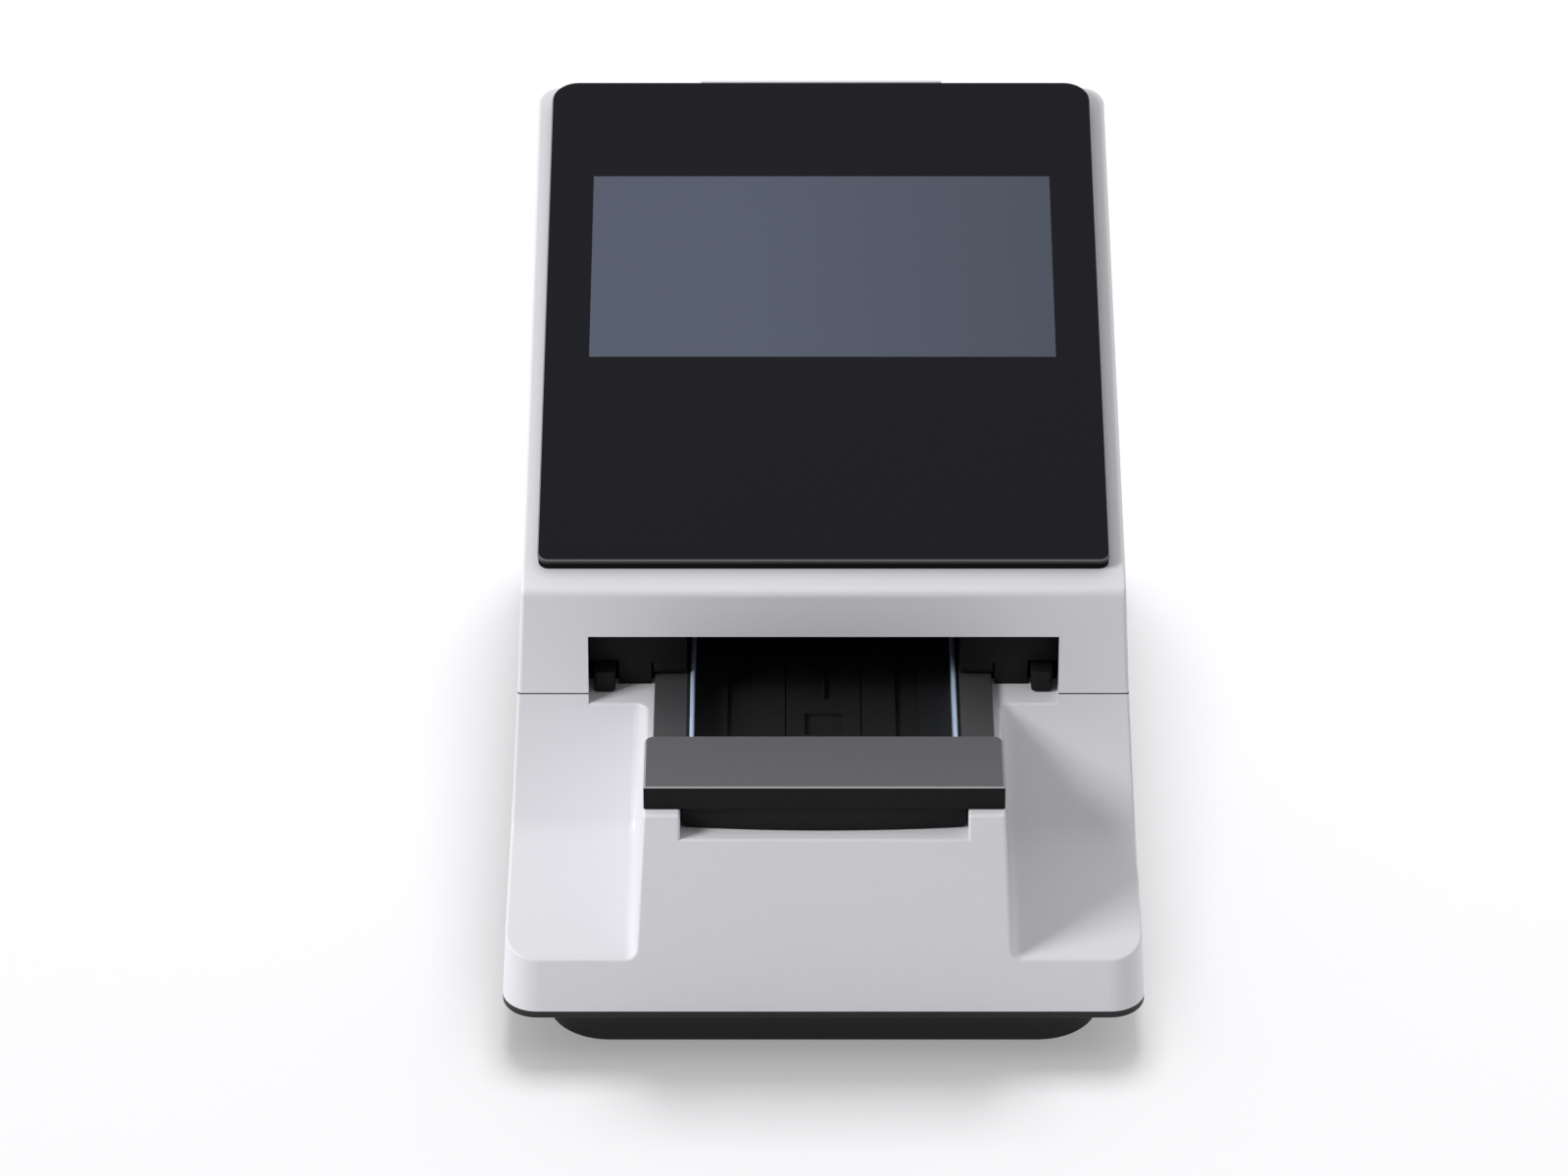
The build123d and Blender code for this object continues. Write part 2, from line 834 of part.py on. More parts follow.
bracket_rim = display_boss_offset + display_boss_radius + 1
with BuildPart() as display_bracket:
    with BuildSketch(screen.offset(bracket_bottom)):
        with Locations((0, lcd_middle)):
            RectangleRounded(lcd_width + 2 * bracket_rim, lcd_length + 2 * bracket_rim, display_boss_radius)
        with Locations(*display_boss_places):
            Circle(small_screw_radius + gap, mode=Mode.SUBTRACT)
        with Locations((0, lcd_middle)):
            with GridLocations(lcd_width / 3, lcd_length / 3, 3, 2):
                SlotOverall(bracket_hole_length, bracket_hole_width, mode=Mode.SUBTRACT)
    extrude(amount=bracket_thickness)
display_bracket.part.label = "display_bracket"
export_step(display_bracket.part, "parts/display_bracket.step")

with BuildPart() as display_screws:
    with BuildSketch(screen.offset(bracket_bottom)):
        with Locations(*display_boss_places):
            Circle(small_head_radius)
    extrude(amount=-small_head_height)
    with BuildSketch(screen.offset(bracket_bottom)):
        with Locations(*display_boss_places):
            Circle(small_screw_radius)
    extrude(amount=small_screw_length)
display_screws.part.label = "display_screws"
export_step(display_screws.part, "parts/display_screws.step")

# Chassis plate on the posts of the base pan
chassis_front = behind(chassis_front_inset)
chassis_rear = rear_y - chassis_rear_inset
with BuildPart() as chassis_plate:
    with BuildSketch(Plane.XY.offset(chassis_z)):
        with Locations((0, (chassis_front + chassis_rear) / 2)):
            RectangleRounded(
                body_width - 2 * chassis_side_inset, chassis_rear - chassis_front, chassis_corner
            )
        with Locations(*column_places):
            Circle(column_radius + column_room, mode=Mode.SUBTRACT)
        with Locations(*post_places):
            Circle(screw_radius + gap, mode=Mode.SUBTRACT)
    extrude(amount=chassis_thickness)
chassis_plate.part.label = "chassis_plate"
export_step(chassis_plate.part, "parts/chassis_plate.step")

# Two circuit boards on standoffs, close behind the rear panel
board_rear = inner_rear_y - board_rear_inset
main_left = board_limit - main_board_width
main_front = board_rear - main_board_depth
power_right = main_left - board_gap
power_front = board_rear - power_board_depth
main_standoffs = [
    (x, y)
    for x in (main_left + standoff_inset, board_limit - standoff_inset)
    for y in (main_front + standoff_inset, board_rear - standoff_inset)
]
power_standoffs = [
    (x, y)
    for x in (standoff_inset - board_limit, power_right - standoff_inset)
    for y in (power_front + standoff_inset, board_rear - standoff_inset)
]
with BuildPart() as board_standoffs:
    with BuildSketch(Plane.XY.offset(chassis_top)):
        with Locations(*main_standoffs, *power_standoffs):
            RegularPolygon(standoff_radius, 6)
            Circle(screw_radius, mode=Mode.SUBTRACT)
    extrude(amount=standoff_height)
board_standoffs.part.label = "board_standoffs"
export_step(board_standoffs.part, "parts/board_standoffs.step")

with BuildPart() as main_board:
    block((main_left, board_limit), (main_front, board_rear), (board_z, board_top))
    with BuildSketch(Plane.XY.offset(board_z)):
        with Locations(*main_standoffs):
            Circle(screw_radius + gap)
    extrude(amount=board_thickness, mode=Mode.SUBTRACT)
main_board.part.label = "main_board"
export_step(main_board.part, "parts/main_board.step")

with BuildPart() as power_board:
    block((-board_limit, power_right), (power_front, board_rear), (board_z, board_top))
    with BuildSketch(Plane.XY.offset(board_z)):
        with Locations(*power_standoffs):
            Circle(screw_radius + gap)
    extrude(amount=board_thickness, mode=Mode.SUBTRACT)
power_board.part.label = "power_board"
export_step(power_board.part, "parts/power_board.step")

with BuildPart() as board_screws:
    for places, seat in ((main_standoffs + power_standoffs, board_top), (post_places, chassis_top)):
        with BuildSketch(Plane.XY.offset(seat)):
            with Locations(*places):
                Circle(screw_head_radius)
        extrude(amount=screw_head_height)
        with BuildSketch(Plane.XY.offset(seat - board_screw_length)):
            with Locations(*places):
                Circle(screw_radius)
        extrude(amount=board_screw_length)
board_screws.part.label = "board_screws"
export_step(board_screws.part, "parts/board_screws.step")

# Display ribbon: a flat cable, straight down behind the strip transport
feed_z = deck_z - feed_drop
feed_front_y = behind(feed_front_setback)
feed_rear_y = behind(feed_rear_setback)
shelf_end = feed_rear_y + shelf_rear_lap
roll_y = rear_y - roll_inset
bay_front_y = roll_y - roll_radius - cradle_room - bay_wall
ribbon_y = (shelf_end + bay_front_y) / 2
ribbon_x = main_left + main_board_width / 2


def under_bracket(y):
    """Height of the underside of the display bracket at a place along Y."""
    return crease_z + (y - crease_y) * math.tan(slope) + bracket_bottom / math.cos(slope)


with BuildPart() as display_ribbon:
    ribbon_front = ribbon_y - ribbon_thickness / 2
    ribbon_rear = ribbon_y + ribbon_thickness / 2
    with BuildSketch(Plane.YZ.offset(ribbon_x - ribbon_width / 2)):
        with BuildLine():
            Polyline(
                (ribbon_front, board_top + plug_height),
                (ribbon_rear, board_top + plug_height),
                (ribbon_rear, under_bracket(ribbon_rear)),
                (ribbon_front, under_bracket(ribbon_front)),
                close=True,
            )
        make_face()
    extrude(amount=ribbon_width)
display_ribbon.part.label = "display_ribbon"
export_step(display_ribbon.part, "parts/display_ribbon.step")

# Chips of the main board, and the plug of the display ribbon
chip_y = (main_front + ribbon_y) / 2
memory_x = ribbon_x + chip_size / 2 + memory_length
with BuildPart() as board_chips:
    block(around(ribbon_x, chip_size), around(chip_y, chip_size), (board_top, board_top + chip_height))
    for y in (chip_y - memory_width, chip_y + memory_width):
        block(around(memory_x, memory_length), around(y, memory_width), (board_top, board_top + memory_height))
    block(
        around(ribbon_x, ribbon_width + plug_depth),
        around(ribbon_y, plug_depth),
        (board_top, board_top + plug_height),
    )
board_chips.part.label = "board_chips"
export_step(board_chips.part, "parts/board_chips.step")

with BuildPart() as clock_battery:
    with BuildSketch(Plane.XY.offset(board_top)):
        with Locations((main_left + battery_radius + 2 * standoff_inset, chip_y)):
            Circle(battery_radius)
    extrude(amount=battery_height)
    chamfer(clock_battery.edges().group_by(Axis.Z)[-1], gap)
clock_battery.part.label = "clock_battery"
export_step(clock_battery.part, "parts/clock_battery.step")

# Transformer, capacitors and coil of the power board
transformer_x = transformer_width / 2 + 2 * standoff_inset - board_limit
transformer_y = power_front + transformer_length / 2 + 2 * standoff_inset
capacitor_x = transformer_x + transformer_width / 2 + 2 * capacitor_radius
with BuildPart() as power_parts:
    block(
        around(transformer_x, transformer_width),
        around(transformer_y, transformer_length),
        (board_top, board_top + transformer_height),
    )
    with BuildSketch(Plane.XY.offset(board_top)):
        with Locations((capacitor_x, transformer_y)):
            with GridLocations(0, 2 * capacitor_radius + 2, 1, 2):
                Circle(capacitor_radius)
    extrude(amount=capacitor_height)
    with BuildSketch(Plane.XY.offset(board_top)):
        with Locations((transformer_x, transformer_y + transformer_length / 2 + coil_radius + 2)):
            Circle(coil_radius)
            Circle(coil_radius / 2, mode=Mode.SUBTRACT)
    extrude(amount=coil_height)
power_parts.part.label = "power_parts"
export_step(power_parts.part, "parts/power_parts.step")

# Sockets at the rear edge of the boards
panel_front = inner_rear_y - rear_panel_thickness
inlet_x = inlet_offset - board_limit
inlet_z = board_top + inlet_height / 2
switch_x = (inlet_x + power_right - switch_inset) / 2
switch_z = board_top + gap + switch_height / 2
lan_x = main_left + lan_inset
serial_x = board_limit - serial_inset
usb_x = (lan_x + serial_x) / 2
serial_z = board_top + serial_height / 2
with BuildPart() as dc_inlet:
    block(around(inlet_x, inlet_width), (inner_rear_y - inlet_depth, inner_rear_y), around(inlet_z, inlet_height))
    with BuildSketch(Plane.XZ.offset(-inner_rear_y)):
        with Locations((inlet_x, inlet_z)):
            Circle(inlet_bore)
            Circle(inlet_pin, mode=Mode.SUBTRACT)
    extrude(amount=inlet_bore_depth, mode=Mode.SUBTRACT)
dc_inlet.part.label = "dc_inlet"
export_step(dc_inlet.part, "parts/dc_inlet.step")

lan_mouth_z = board_top + lan_floor + lan_mouth_height / 2
with BuildPart() as lan_jack:
    block(
        around(lan_x, lan_width),
        (inner_rear_y - lan_depth, inner_rear_y),
        (board_top, board_top + lan_height),
    )
    block(
        around(lan_x, lan_mouth),
        (inner_rear_y - lan_mouth, inner_rear_y),
        around(lan_mouth_z, lan_mouth_height),
        mode=Mode.SUBTRACT,
    )
    block(
        around(lan_x, lan_mouth / 2),
        (inner_rear_y - lan_mouth, inner_rear_y),
        (board_top + lan_floor - lan_latch, lan_mouth_z),
        mode=Mode.SUBTRACT,
    )
lan_jack.part.label = "lan_jack"
export_step(lan_jack.part, "parts/lan_jack.step")

usb_levels = [board_top + usb_height / 4, board_top + usb_height * 3 / 4]
with BuildPart() as usb_ports:
    block(
        around(usb_x, usb_width),
        (inner_rear_y - usb_depth, inner_rear_y),
        (board_top, board_top + usb_height),
    )
    for level in usb_levels:
        block(
            around(usb_x, usb_mouth),
            (inner_rear_y - usb_mouth_depth, inner_rear_y),
            around(level, usb_mouth_height),
            mode=Mode.SUBTRACT,
        )
        tongue_top = level + usb_mouth_height / 2 - gap
        block(
            around(usb_x, usb_mouth - 2),
            (inner_rear_y - usb_mouth_depth - 1, inner_rear_y - 1),
            (tongue_top - usb_tongue, tongue_top),
        )
usb_ports.part.label = "usb_ports"
export_step(usb_ports.part, "parts/usb_ports.step")


def serial_outline(inset):
    """Outline of the serial socket's shell, wider at the top, moved in by inset."""
    with BuildSketch(Plane.XZ.offset(-panel_front)) as outline:
        with Locations((serial_x, serial_z)):
            Trapezoid(serial_shell - 2 * inset, serial_shell_height - 2 * inset, 80, rotation=180)
    return outline.sketch


with BuildPart() as serial_port:
    block(around(serial_x, serial_width), (panel_front - serial_depth, panel_front), around(serial_z, serial_height))
    extrude(serial_outline(0), amount=-serial_reach)
    extrude(serial_outline(serial_shell_wall), amount=-serial_reach, mode=Mode.SUBTRACT)
    with BuildSketch(Plane.XZ.offset(-panel_front)):
        with Locations((serial_x, serial_z + serial_pin_pitch / 2)):
            with GridLocations(serial_pin_pitch, 0, 5, 1):
                Circle(serial_pin)
        with Locations((serial_x, serial_z - serial_pin_pitch / 2)):
            with GridLocations(serial_pin_pitch, 0, 4, 1):
                Circle(serial_pin)
    extrude(amount=1 - serial_reach)
serial_port.part.label = "serial_port"
export_step(serial_port.part, "parts/serial_port.step")

# Rear panel: a black plate behind the opening, cut out for each socket
with BuildPart() as rear_panel:
    block(
        around(0, rear_opening_width + 2 * rear_panel_lap),
        (panel_front, inner_rear_y),
        around(rear_opening_z, rear_opening_height + 2 * rear_panel_lap),
    )
    for x, width, z, height in (
        (inlet_x, inlet_width, inlet_z, inlet_height),
        (switch_x, switch_width, switch_z, switch_height),
        (lan_x, lan_width, board_top + lan_height / 2, lan_height),
        (usb_x, usb_width, board_top + usb_height / 2, usb_height),
    ):
        block(
            around(x, width + 2 * pane_play),
            (panel_front, inner_rear_y),
            around(z, height + 2 * pane_play),
            mode=Mode.SUBTRACT,
        )
    extrude(serial_outline(-pane_play), amount=-serial_reach, mode=Mode.SUBTRACT)
rear_panel.part.label = "rear_panel"
export_step(rear_panel.part, "parts/rear_panel.step")

# Power switch: a flanged box with a rocker that tilts about its middle
rocker_y = rear_y - rocker_inset
with BuildPart() as switch_body:
    block(
        around(switch_x, switch_width), (inner_rear_y - switch_depth, inner_rear_y), around(switch_z, switch_height)
    )
    block(
        around(switch_x, switch_width + 2 * switch_flange),
        (inner_rear_y, inner_rear_y + switch_flange_thickness),
        around(switch_z, switch_height + 2 * switch_flange),
    )
    block(
        around(switch_x, switch_width - 2 * switch_wall),
        (rocker_y - rocker_back - 1, rear_y),
        around(switch_z, switch_height - 2 * switch_wall),
        mode=Mode.SUBTRACT,
    )
    with BuildSketch(Plane.YZ.offset(switch_x)):
        with Locations((rocker_y, switch_z)):
            Circle(rocker_pin + shaft_play)
    extrude(amount=rocker_width / 2 + rocker_pin_reach + shaft_play, both=True, mode=Mode.SUBTRACT)
switch_body.part.label = "switch_body"
export_step(switch_body.part, "parts/switch_body.step")

tilt = math.radians(rocker_tilt)
rocker_plane = Plane(
    origin=(switch_x, rocker_y, switch_z), x_dir=(0, math.cos(tilt), -math.sin(tilt)), z_dir=(1, 0, 0)
)
with BuildPart() as switch_rocker:
    with BuildSketch(rocker_plane):
        with BuildLine():
            Polyline(
                (rocker_rise, rocker_half_height),
                (rocker_rise - rocker_dip, 0),
                (rocker_rise, -rocker_half_height),
                (0, -rocker_half_height),
                (-rocker_back, -rocker_back),
                (-rocker_back, rocker_back),
                (0, rocker_half_height),
                close=True,
            )
        make_face()
    extrude(amount=rocker_width / 2, both=True)
    with BuildSketch(rocker_plane):
        Circle(rocker_pin)
    extrude(amount=rocker_width / 2 + rocker_pin_reach, both=True)
switch_rocker.part.label = "switch_rocker"
export_step(switch_rocker.part, "parts/switch_rocker.step")

# Drawer guide: it carries the trough and the deck on, inside the tower
handle_y = behind(handle_setback)
handle_rear = handle_y + handle_depth
drawer_rear = handle_rear + drawer_length
guide_front = ledge_end
guide_rear = drawer_rear + gap + guide_wall
guide_outer = trough_half + guide_wall
guide_leg_x = trough_half + guide_leg_offset + guide_leg / 2
shelf_z = deck_z - wall
with BuildPart() as drawer_guide:
    block((-guide_outer, guide_outer), (guide_front, guide_rear), (trough_z - trough_floor, trough_z))
    block((-guide_outer, guide_outer), (guide_rear - guide_wall, guide_rear), (trough_z, deck_z))
    block((-shelf_outer, shelf_outer), (shelf_end - arm_bar, shelf_end), (shelf_z, deck_z))
    for x_range in both_sides(trough_half, guide_outer):
        block(x_range, (guide_front, guide_rear), (trough_z - trough_floor, deck_z))
    for x_range in both_sides(trough_half, shelf_outer):
        block(x_range, (guide_front, shelf_end), (shelf_z, deck_z))
    for setback in guide_leg_setbacks:
        for side in (-1, 1):
            leg_y = around(behind(setback), guide_leg)
            block(around(side * guide_leg_x, guide_leg), leg_y, (chassis_top, shelf_z))
    for y in (feed_front_y, feed_rear_y):
        block(
            (shelf_outer - side_plate, shelf_outer),
            around(y, side_plate_width),
            (feed_z - side_plate_width / 2, shelf_z),
        )
    with BuildSketch(Plane.YZ.offset(shelf_outer)):
        with Locations((feed_front_y, feed_z)):
            Circle(pulley_bore)
    extrude(amount=pulley_gap + pulley_width)
    with BuildSketch(Plane.YZ.offset(shelf_outer - side_plate)):
        with Locations((feed_rear_y, feed_z)):
            Circle(motor_shaft + gap)
    extrude(amount=side_plate, mode=Mode.SUBTRACT)
drawer_guide.part.label = "drawer_guide"
export_step(drawer_guide.part, "parts/drawer_guide.step")

# Black bezel inside the opening, cut out for the tray, the pusher and the strips
bezel_half_width = opening_half + bezel_lap
bezel_leg_inner = arm_outer + bezel_play
bezel_leg_outer = pusher_inner - bezel_play
bezel_window_half = tray_half_width + bezel_window_play
bezel_y = (behind(bezel_setback), behind(bezel_setback) + bezel_thickness)
bezel_top = deck_z + bezel_height
with BuildPart() as opening_bezel:
    block((-bezel_half_width, bezel_half_width), bezel_y, (deck_z, bezel_top))
    for x_range in both_sides(bezel_leg_outer, bezel_half_width):
        block(x_range, bezel_y, (deck_z, deck_z + bezel_slot_height), mode=Mode.SUBTRACT)
    block(
        (-bezel_leg_inner, bezel_leg_inner), bezel_y, (deck_z, deck_z + bezel_middle_height), mode=Mode.SUBTRACT
    )
    block(
        (-bezel_window_half, bezel_window_half), bezel_y, (deck_z, deck_z + bezel_window_height), mode=Mode.SUBTRACT
    )
opening_bezel.part.label = "opening_bezel"
export_step(opening_bezel.part, "parts/opening_bezel.step")

# Drawer handle: a thick plate across the drawer, its front leaning back
handle_bottom = deck_z + gap
handle_top = handle_bottom + handle_thickness
handle_back = handle_thickness * math.tan(math.radians(handle_lean))
with BuildPart() as drawer_handle:
    with BuildSketch(Plane.YZ.offset(-handle_half)):
        with BuildLine():
            Polyline(
                (handle_y, handle_bottom),
                (handle_rear, handle_bottom),
                (handle_rear, handle_top),
                (handle_y + handle_back, handle_top),
                close=True,
            )
        make_face()
    extrude(amount=block_width)
    fillet(drawer_handle.edges().filter_by(Axis.Z).group_by(Axis.Y)[-1], handle_corner)
    fillet(drawer_handle.edges().group_by(Axis.Z)[-1], handle_edge)
drawer_handle.part.label = "drawer_handle"
export_step(drawer_handle.part, "parts/drawer_handle.step")

# Drawer arms: a flat frame that slides on the deck, behind the handle
arm_top = handle_bottom + arm_thickness
with BuildPart() as drawer_arms:
    for x_range in both_sides(tray_half_width, arm_outer):
        block(x_range, (handle_rear, drawer_rear), (handle_bottom, arm_top))
    block((-arm_outer, arm_outer), (drawer_rear - arm_bar, drawer_rear), (handle_bottom, arm_top))
drawer_arms.part.label = "drawer_arms"
export_step(drawer_arms.part, "parts/drawer_arms.step")

# Strip tray: a long shallow tray with raised pads, a centre rib and a dimple
tray_bottom = trough_z + gap
tray_floor_z = tray_bottom + tray_floor
pad_z = tray_floor_z + tray_pad
tray_front = behind(drawer_front_setback) + drawer_front_thickness
tray_rear = drawer_rear - arm_bar
tray_inner = tray_half_width - tray_wall
tray_seam = tray_rib_width / 2
with BuildPart() as strip_tray:
    block((-tray_half_width, tray_half_width), (tray_front, tray_rear), (tray_bottom, arm_top))
    block((-tray_inner, tray_inner), (tray_front, tray_rear), (tray_floor_z, arm_top), mode=Mode.SUBTRACT)
    block((-body_width / 2, body_width / 2), (tray_front, handle_rear), (handle_bottom, arm_top), mode=Mode.SUBTRACT)
    block((-tray_middle, tray_middle), (tray_front, tray_rear), (tray_floor_z, pad_z))
    for x_range in both_sides(tray_middle + tray_seam, tray_groove_inner) + both_sides(
        tray_groove_outer, tray_inner
    ):
        block(x_range, (tray_front, tray_rear), (tray_floor_z, pad_z))
    block(
        around(0, tray_rib_width),
        (behind(centre_rib_setback), behind(centre_rib_setback) + centre_rib_length),
        (pad_z, pad_z + tray_pad),
    )
    block(
        around(0, dimple_width),
        (behind(dimple_setback), behind(dimple_setback) + dimple_length),
        (tray_floor_z, pad_z),
        mode=Mode.SUBTRACT,
    )
strip_tray.part.label = "strip_tray"
export_step(strip_tray.part, "parts/strip_tray.step")

# Two polished rails beside the pads
with BuildPart() as tray_rails:
    for x_range in both_sides(tray_inner - rail_width, tray_inner):
        block(x_range, (behind(rail_setback), tray_rear), (pad_z, deck_z + rail_stand))
    fillet(tray_rails.edges().filter_by(Axis.Y).group_by(Axis.Z)[-1], rail_edge)
tray_rails.part.label = "tray_rails"
export_step(tray_rails.part, "parts/tray_rails.step")

# Curved front of the drawer, filling the notch of the deck
front_half = trough_half - drawer_front_play
with BuildPart() as drawer_front:
    with BuildSketch(Plane.XY.offset(tray_bottom)):
        with BuildLine():
            ends = behind(drawer_front_setback)
            ThreePointArc((-front_half, ends), (0, ends - drawer_front_bulge), (front_half, ends))
            Polyline((front_half, ends), (front_half, tray_front), (-front_half, tray_front), (-front_half, ends))
        make_face()
    extrude(amount=handle_bottom - tray_bottom)
    low_edges = drawer_front.edges().filter_by(Axis.Y).group_by(Axis.Z)[0]
    fillet(low_edges, drawer_front_corner)
drawer_front.part.label = "drawer_front"
export_step(drawer_front.part, "parts/drawer_front.step")

# White reference plate, near the rear of the tray
reference_x = -tray_groove_outer - reference_size / 4
with BuildPart() as reference_plate:
    block(
        around(reference_x, reference_size),
        around(behind(reference_setback), reference_size),
        (pad_z, pad_z + reference_thickness),
    )
reference_plate.part.label = "reference_plate"
export_step(reference_plate.part, "parts/reference_plate.step")

# Strip pusher: two arms joined behind the reading head, with a clamp on the belt
pusher_z = (deck_z + pusher_lift, deck_z + pusher_lift + pusher_height)
pusher_y = behind(pusher_setback)
pusher_rear = pusher_y + pusher_length
bar_z = pusher_z[0] + pusher_bar_lift
belt_inner = pulley_radius + belt_play
belt_outer = belt_inner + belt_thickness
clamp_y = (behind(clamp_setback), behind(clamp_setback) + clamp_length)
upper_run = (feed_z + belt_inner - gap, feed_z + belt_outer + gap)
with BuildPart() as strip_pusher:
    for x_range in both_sides(pusher_inner, pusher_outer):
        block(x_range, (pusher_y, pusher_rear), pusher_z)
        block(x_range, (pusher_y, pusher_y + nose_length), (pusher_z[0], pusher_z[0] + nose_height))
    fillet(strip_pusher.edges().filter_by(Axis.Z).group_by(Axis.Y)[0], nose_edge)
    block((-pusher_outer, pusher_outer), (pusher_rear - pusher_bar, pusher_rear), (bar_z, bar_z + pusher_height))
    block((pusher_outer, clamp_outer), clamp_y, pusher_z)
    block((feed_belt_x, clamp_outer), clamp_y, (upper_run[1], pusher_z[0]))
    block((feed_belt_x, clamp_outer), clamp_y, (upper_run[0] - clamp_jaw, upper_run[0]))
    block((clamp_outer - clamp_back, clamp_outer), clamp_y, upper_run)
strip_pusher.part.label = "strip_pusher"
export_step(strip_pusher.part, "parts/strip_pusher.step")


def pulley(plane, bore):
    """A flanged belt pulley that stands on a plane, with a bore through it."""
    wide = pulley_radius + pulley_flange_height
    with BuildPart() as wheel:
        with BuildSketch(plane):
            Circle(pulley_radius)
        extrude(amount=pulley_width)
        for start in (0, pulley_width - pulley_flange):
            with BuildSketch(plane.offset(start)):
                Circle(wide)
            extrude(amount=pulley_flange)
        with BuildSketch(plane):
            Circle(bore)
        extrude(amount=pulley_width, mode=Mode.SUBTRACT)
    return wheel.part


def belt_loop(plane, span):
    """A closed belt round two pulleys, a span apart along the plane's X."""
    with BuildPart() as loop:
        with BuildSketch(plane):
            SlotOverall(span + 2 * belt_outer, 2 * belt_outer)
            SlotOverall(span + 2 * belt_inner, 2 * belt_inner, mode=Mode.SUBTRACT)
        extrude(amount=belt_width)
    return loop.part


# Feed motor below the guide's shelf, with its two pulleys and its belt
feed_rear_plane = Plane(origin=(0, feed_rear_y, feed_z), x_dir=(0, 1, 0), z_dir=(1, 0, 0))
feed_front_plane = Plane(origin=(0, feed_front_y, feed_z), x_dir=(0, 1, 0), z_dir=(1, 0, 0))
motor_face_x = shelf_outer - side_plate
with BuildPart() as feed_motor:
    with BuildSketch(feed_rear_plane.offset(motor_face_x)):
        Circle(motor_radius)
    extrude(amount=-feed_motor_length)
    fillet(feed_motor.edges().group_by(Axis.X)[0], motor_edge)
    with BuildSketch(feed_rear_plane.offset(motor_face_x)):
        Circle(motor_shaft)
    extrude(amount=side_plate + pulley_gap + pulley_width)
feed_motor.part.label = "feed_motor"
export_step(feed_motor.part, "parts/feed_motor.step")

with BuildPart() as feed_drive_pulley:
    add(pulley(feed_rear_plane.offset(feed_pulley_x), motor_shaft + shaft_play))
feed_drive_pulley.part.label = "feed_drive_pulley"
export_step(feed_drive_pulley.part, "parts/feed_drive_pulley.step")

with BuildPart() as feed_idler_pulley:
    add(pulley(feed_front_plane.offset(feed_pulley_x), pulley_bore + shaft_play))
feed_idler_pulley.part.label = "feed_idler_pulley"
export_step(feed_idler_pulley.part, "parts/feed_idler_pulley.step")

feed_middle = (feed_front_y + feed_rear_y) / 2
with BuildPart() as feed_belt:
    feed_belt_plane = Plane(origin=(feed_belt_x, feed_middle, feed_z), x_dir=(0, 1, 0), z_dir=(1, 0, 0))
    add(belt_loop(feed_belt_plane, feed_rear_y - feed_front_y))
feed_belt.part.label = "feed_belt"
export_step(feed_belt.part, "parts/feed_belt.step")

# Optics frame: two cheeks on the chassis, joined by a plate above the head
head_y = behind(head_setback)
head_rear = head_y + head_depth
optics_y = (head_y - optics_margin, head_y - optics_margin + optics_length)
plate_z = deck_z + optics_lift
head_pulley_x = cheek_inner - head_pulley_inset
head_pulley_y = head_rear + head_pulley_gap
head_pulley_top = plate_z - head_pulley_drop
head_pulley_z = head_pulley_top - pulley_width
with BuildPart() as optics_frame:
    for x_range in both_sides(cheek_inner, cheek_outer):
        block(x_range, optics_y, (chassis_top, plate_z))
    for x_range in both_sides(cheek_outer - cheek_foot, cheek_outer):
        block(x_range, optics_y, (chassis_top, chassis_top + cheek_thickness))
    block((-cheek_outer, cheek_outer), optics_y, (plate_z, plate_z + optics_plate))
    with BuildSketch(Plane.XY.offset(head_pulley_z)):
        with Locations((head_pulley_x, head_pulley_y)):
            Circle(pulley_bore)
    extrude(amount=plate_z - head_pulley_z)
    with BuildSketch(Plane.XY.offset(plate_z)):
        with Locations((-head_pulley_x, head_pulley_y)):
            Circle(motor_shaft + gap)
    extrude(amount=optics_plate, mode=Mode.SUBTRACT)
optics_frame.part.label = "optics_frame"
export_step(optics_frame.part, "parts/optics_frame.step")

# Two guide shafts between the cheeks, and the reading head that slides on them
head_z = deck_z + head_lift
shaft_z = head_z + head_height / 2
shaft_places = [(head_y + guide_shaft_inset, shaft_z), (head_rear - guide_shaft_inset, shaft_z)]
with BuildPart() as guide_shafts:
    with BuildSketch(Plane.YZ):
        with Locations(*shaft_places):
            Circle(guide_shaft_radius)
    extrude(amount=cheek_inner, both=True)
guide_shafts.part.label = "guide_shafts"
export_step(guide_shafts.part, "parts/guide_shafts.step")

lens_y = (shaft_places[0][0] + shaft_places[1][0]) / 2
belt_z = head_pulley_z + (pulley_width - belt_width) / 2
front_run = (head_pulley_y - belt_outer - gap, head_pulley_y - belt_inner + gap)
clamp_top = belt_z + belt_width + gap
with BuildPart() as reading_head:
    block(around(0, head_width), (head_y, head_rear), (head_z, head_z + head_height))
    chamfer(reading_head.edges().filter_by(Axis.Z), head_edge)
    with BuildSketch(Plane.YZ):
        with Locations(*shaft_places):
            Circle(guide_shaft_radius + shaft_play)
    extrude(amount=head_width, both=True, mode=Mode.SUBTRACT)
    with BuildSketch(Plane.XY.offset(head_z)):
        with Locations((0, lens_y)):
            Circle(lens_radius)
    extrude(amount=lens_recess, mode=Mode.SUBTRACT)
    block(around(0, head_clamp_width), (head_rear, front_run[0]), (belt_z, clamp_top + clamp_back))
    block(around(0, head_clamp_width), (front_run[0], front_run[1]), (clamp_top, clamp_top + clamp_back))
    block(around(0, head_clamp_width), (front_run[1], front_run[1] + clamp_jaw), (belt_z, clamp_top + clamp_back))
reading_head.part.label = "reading_head"
export_step(reading_head.part, "parts/reading_head.step")

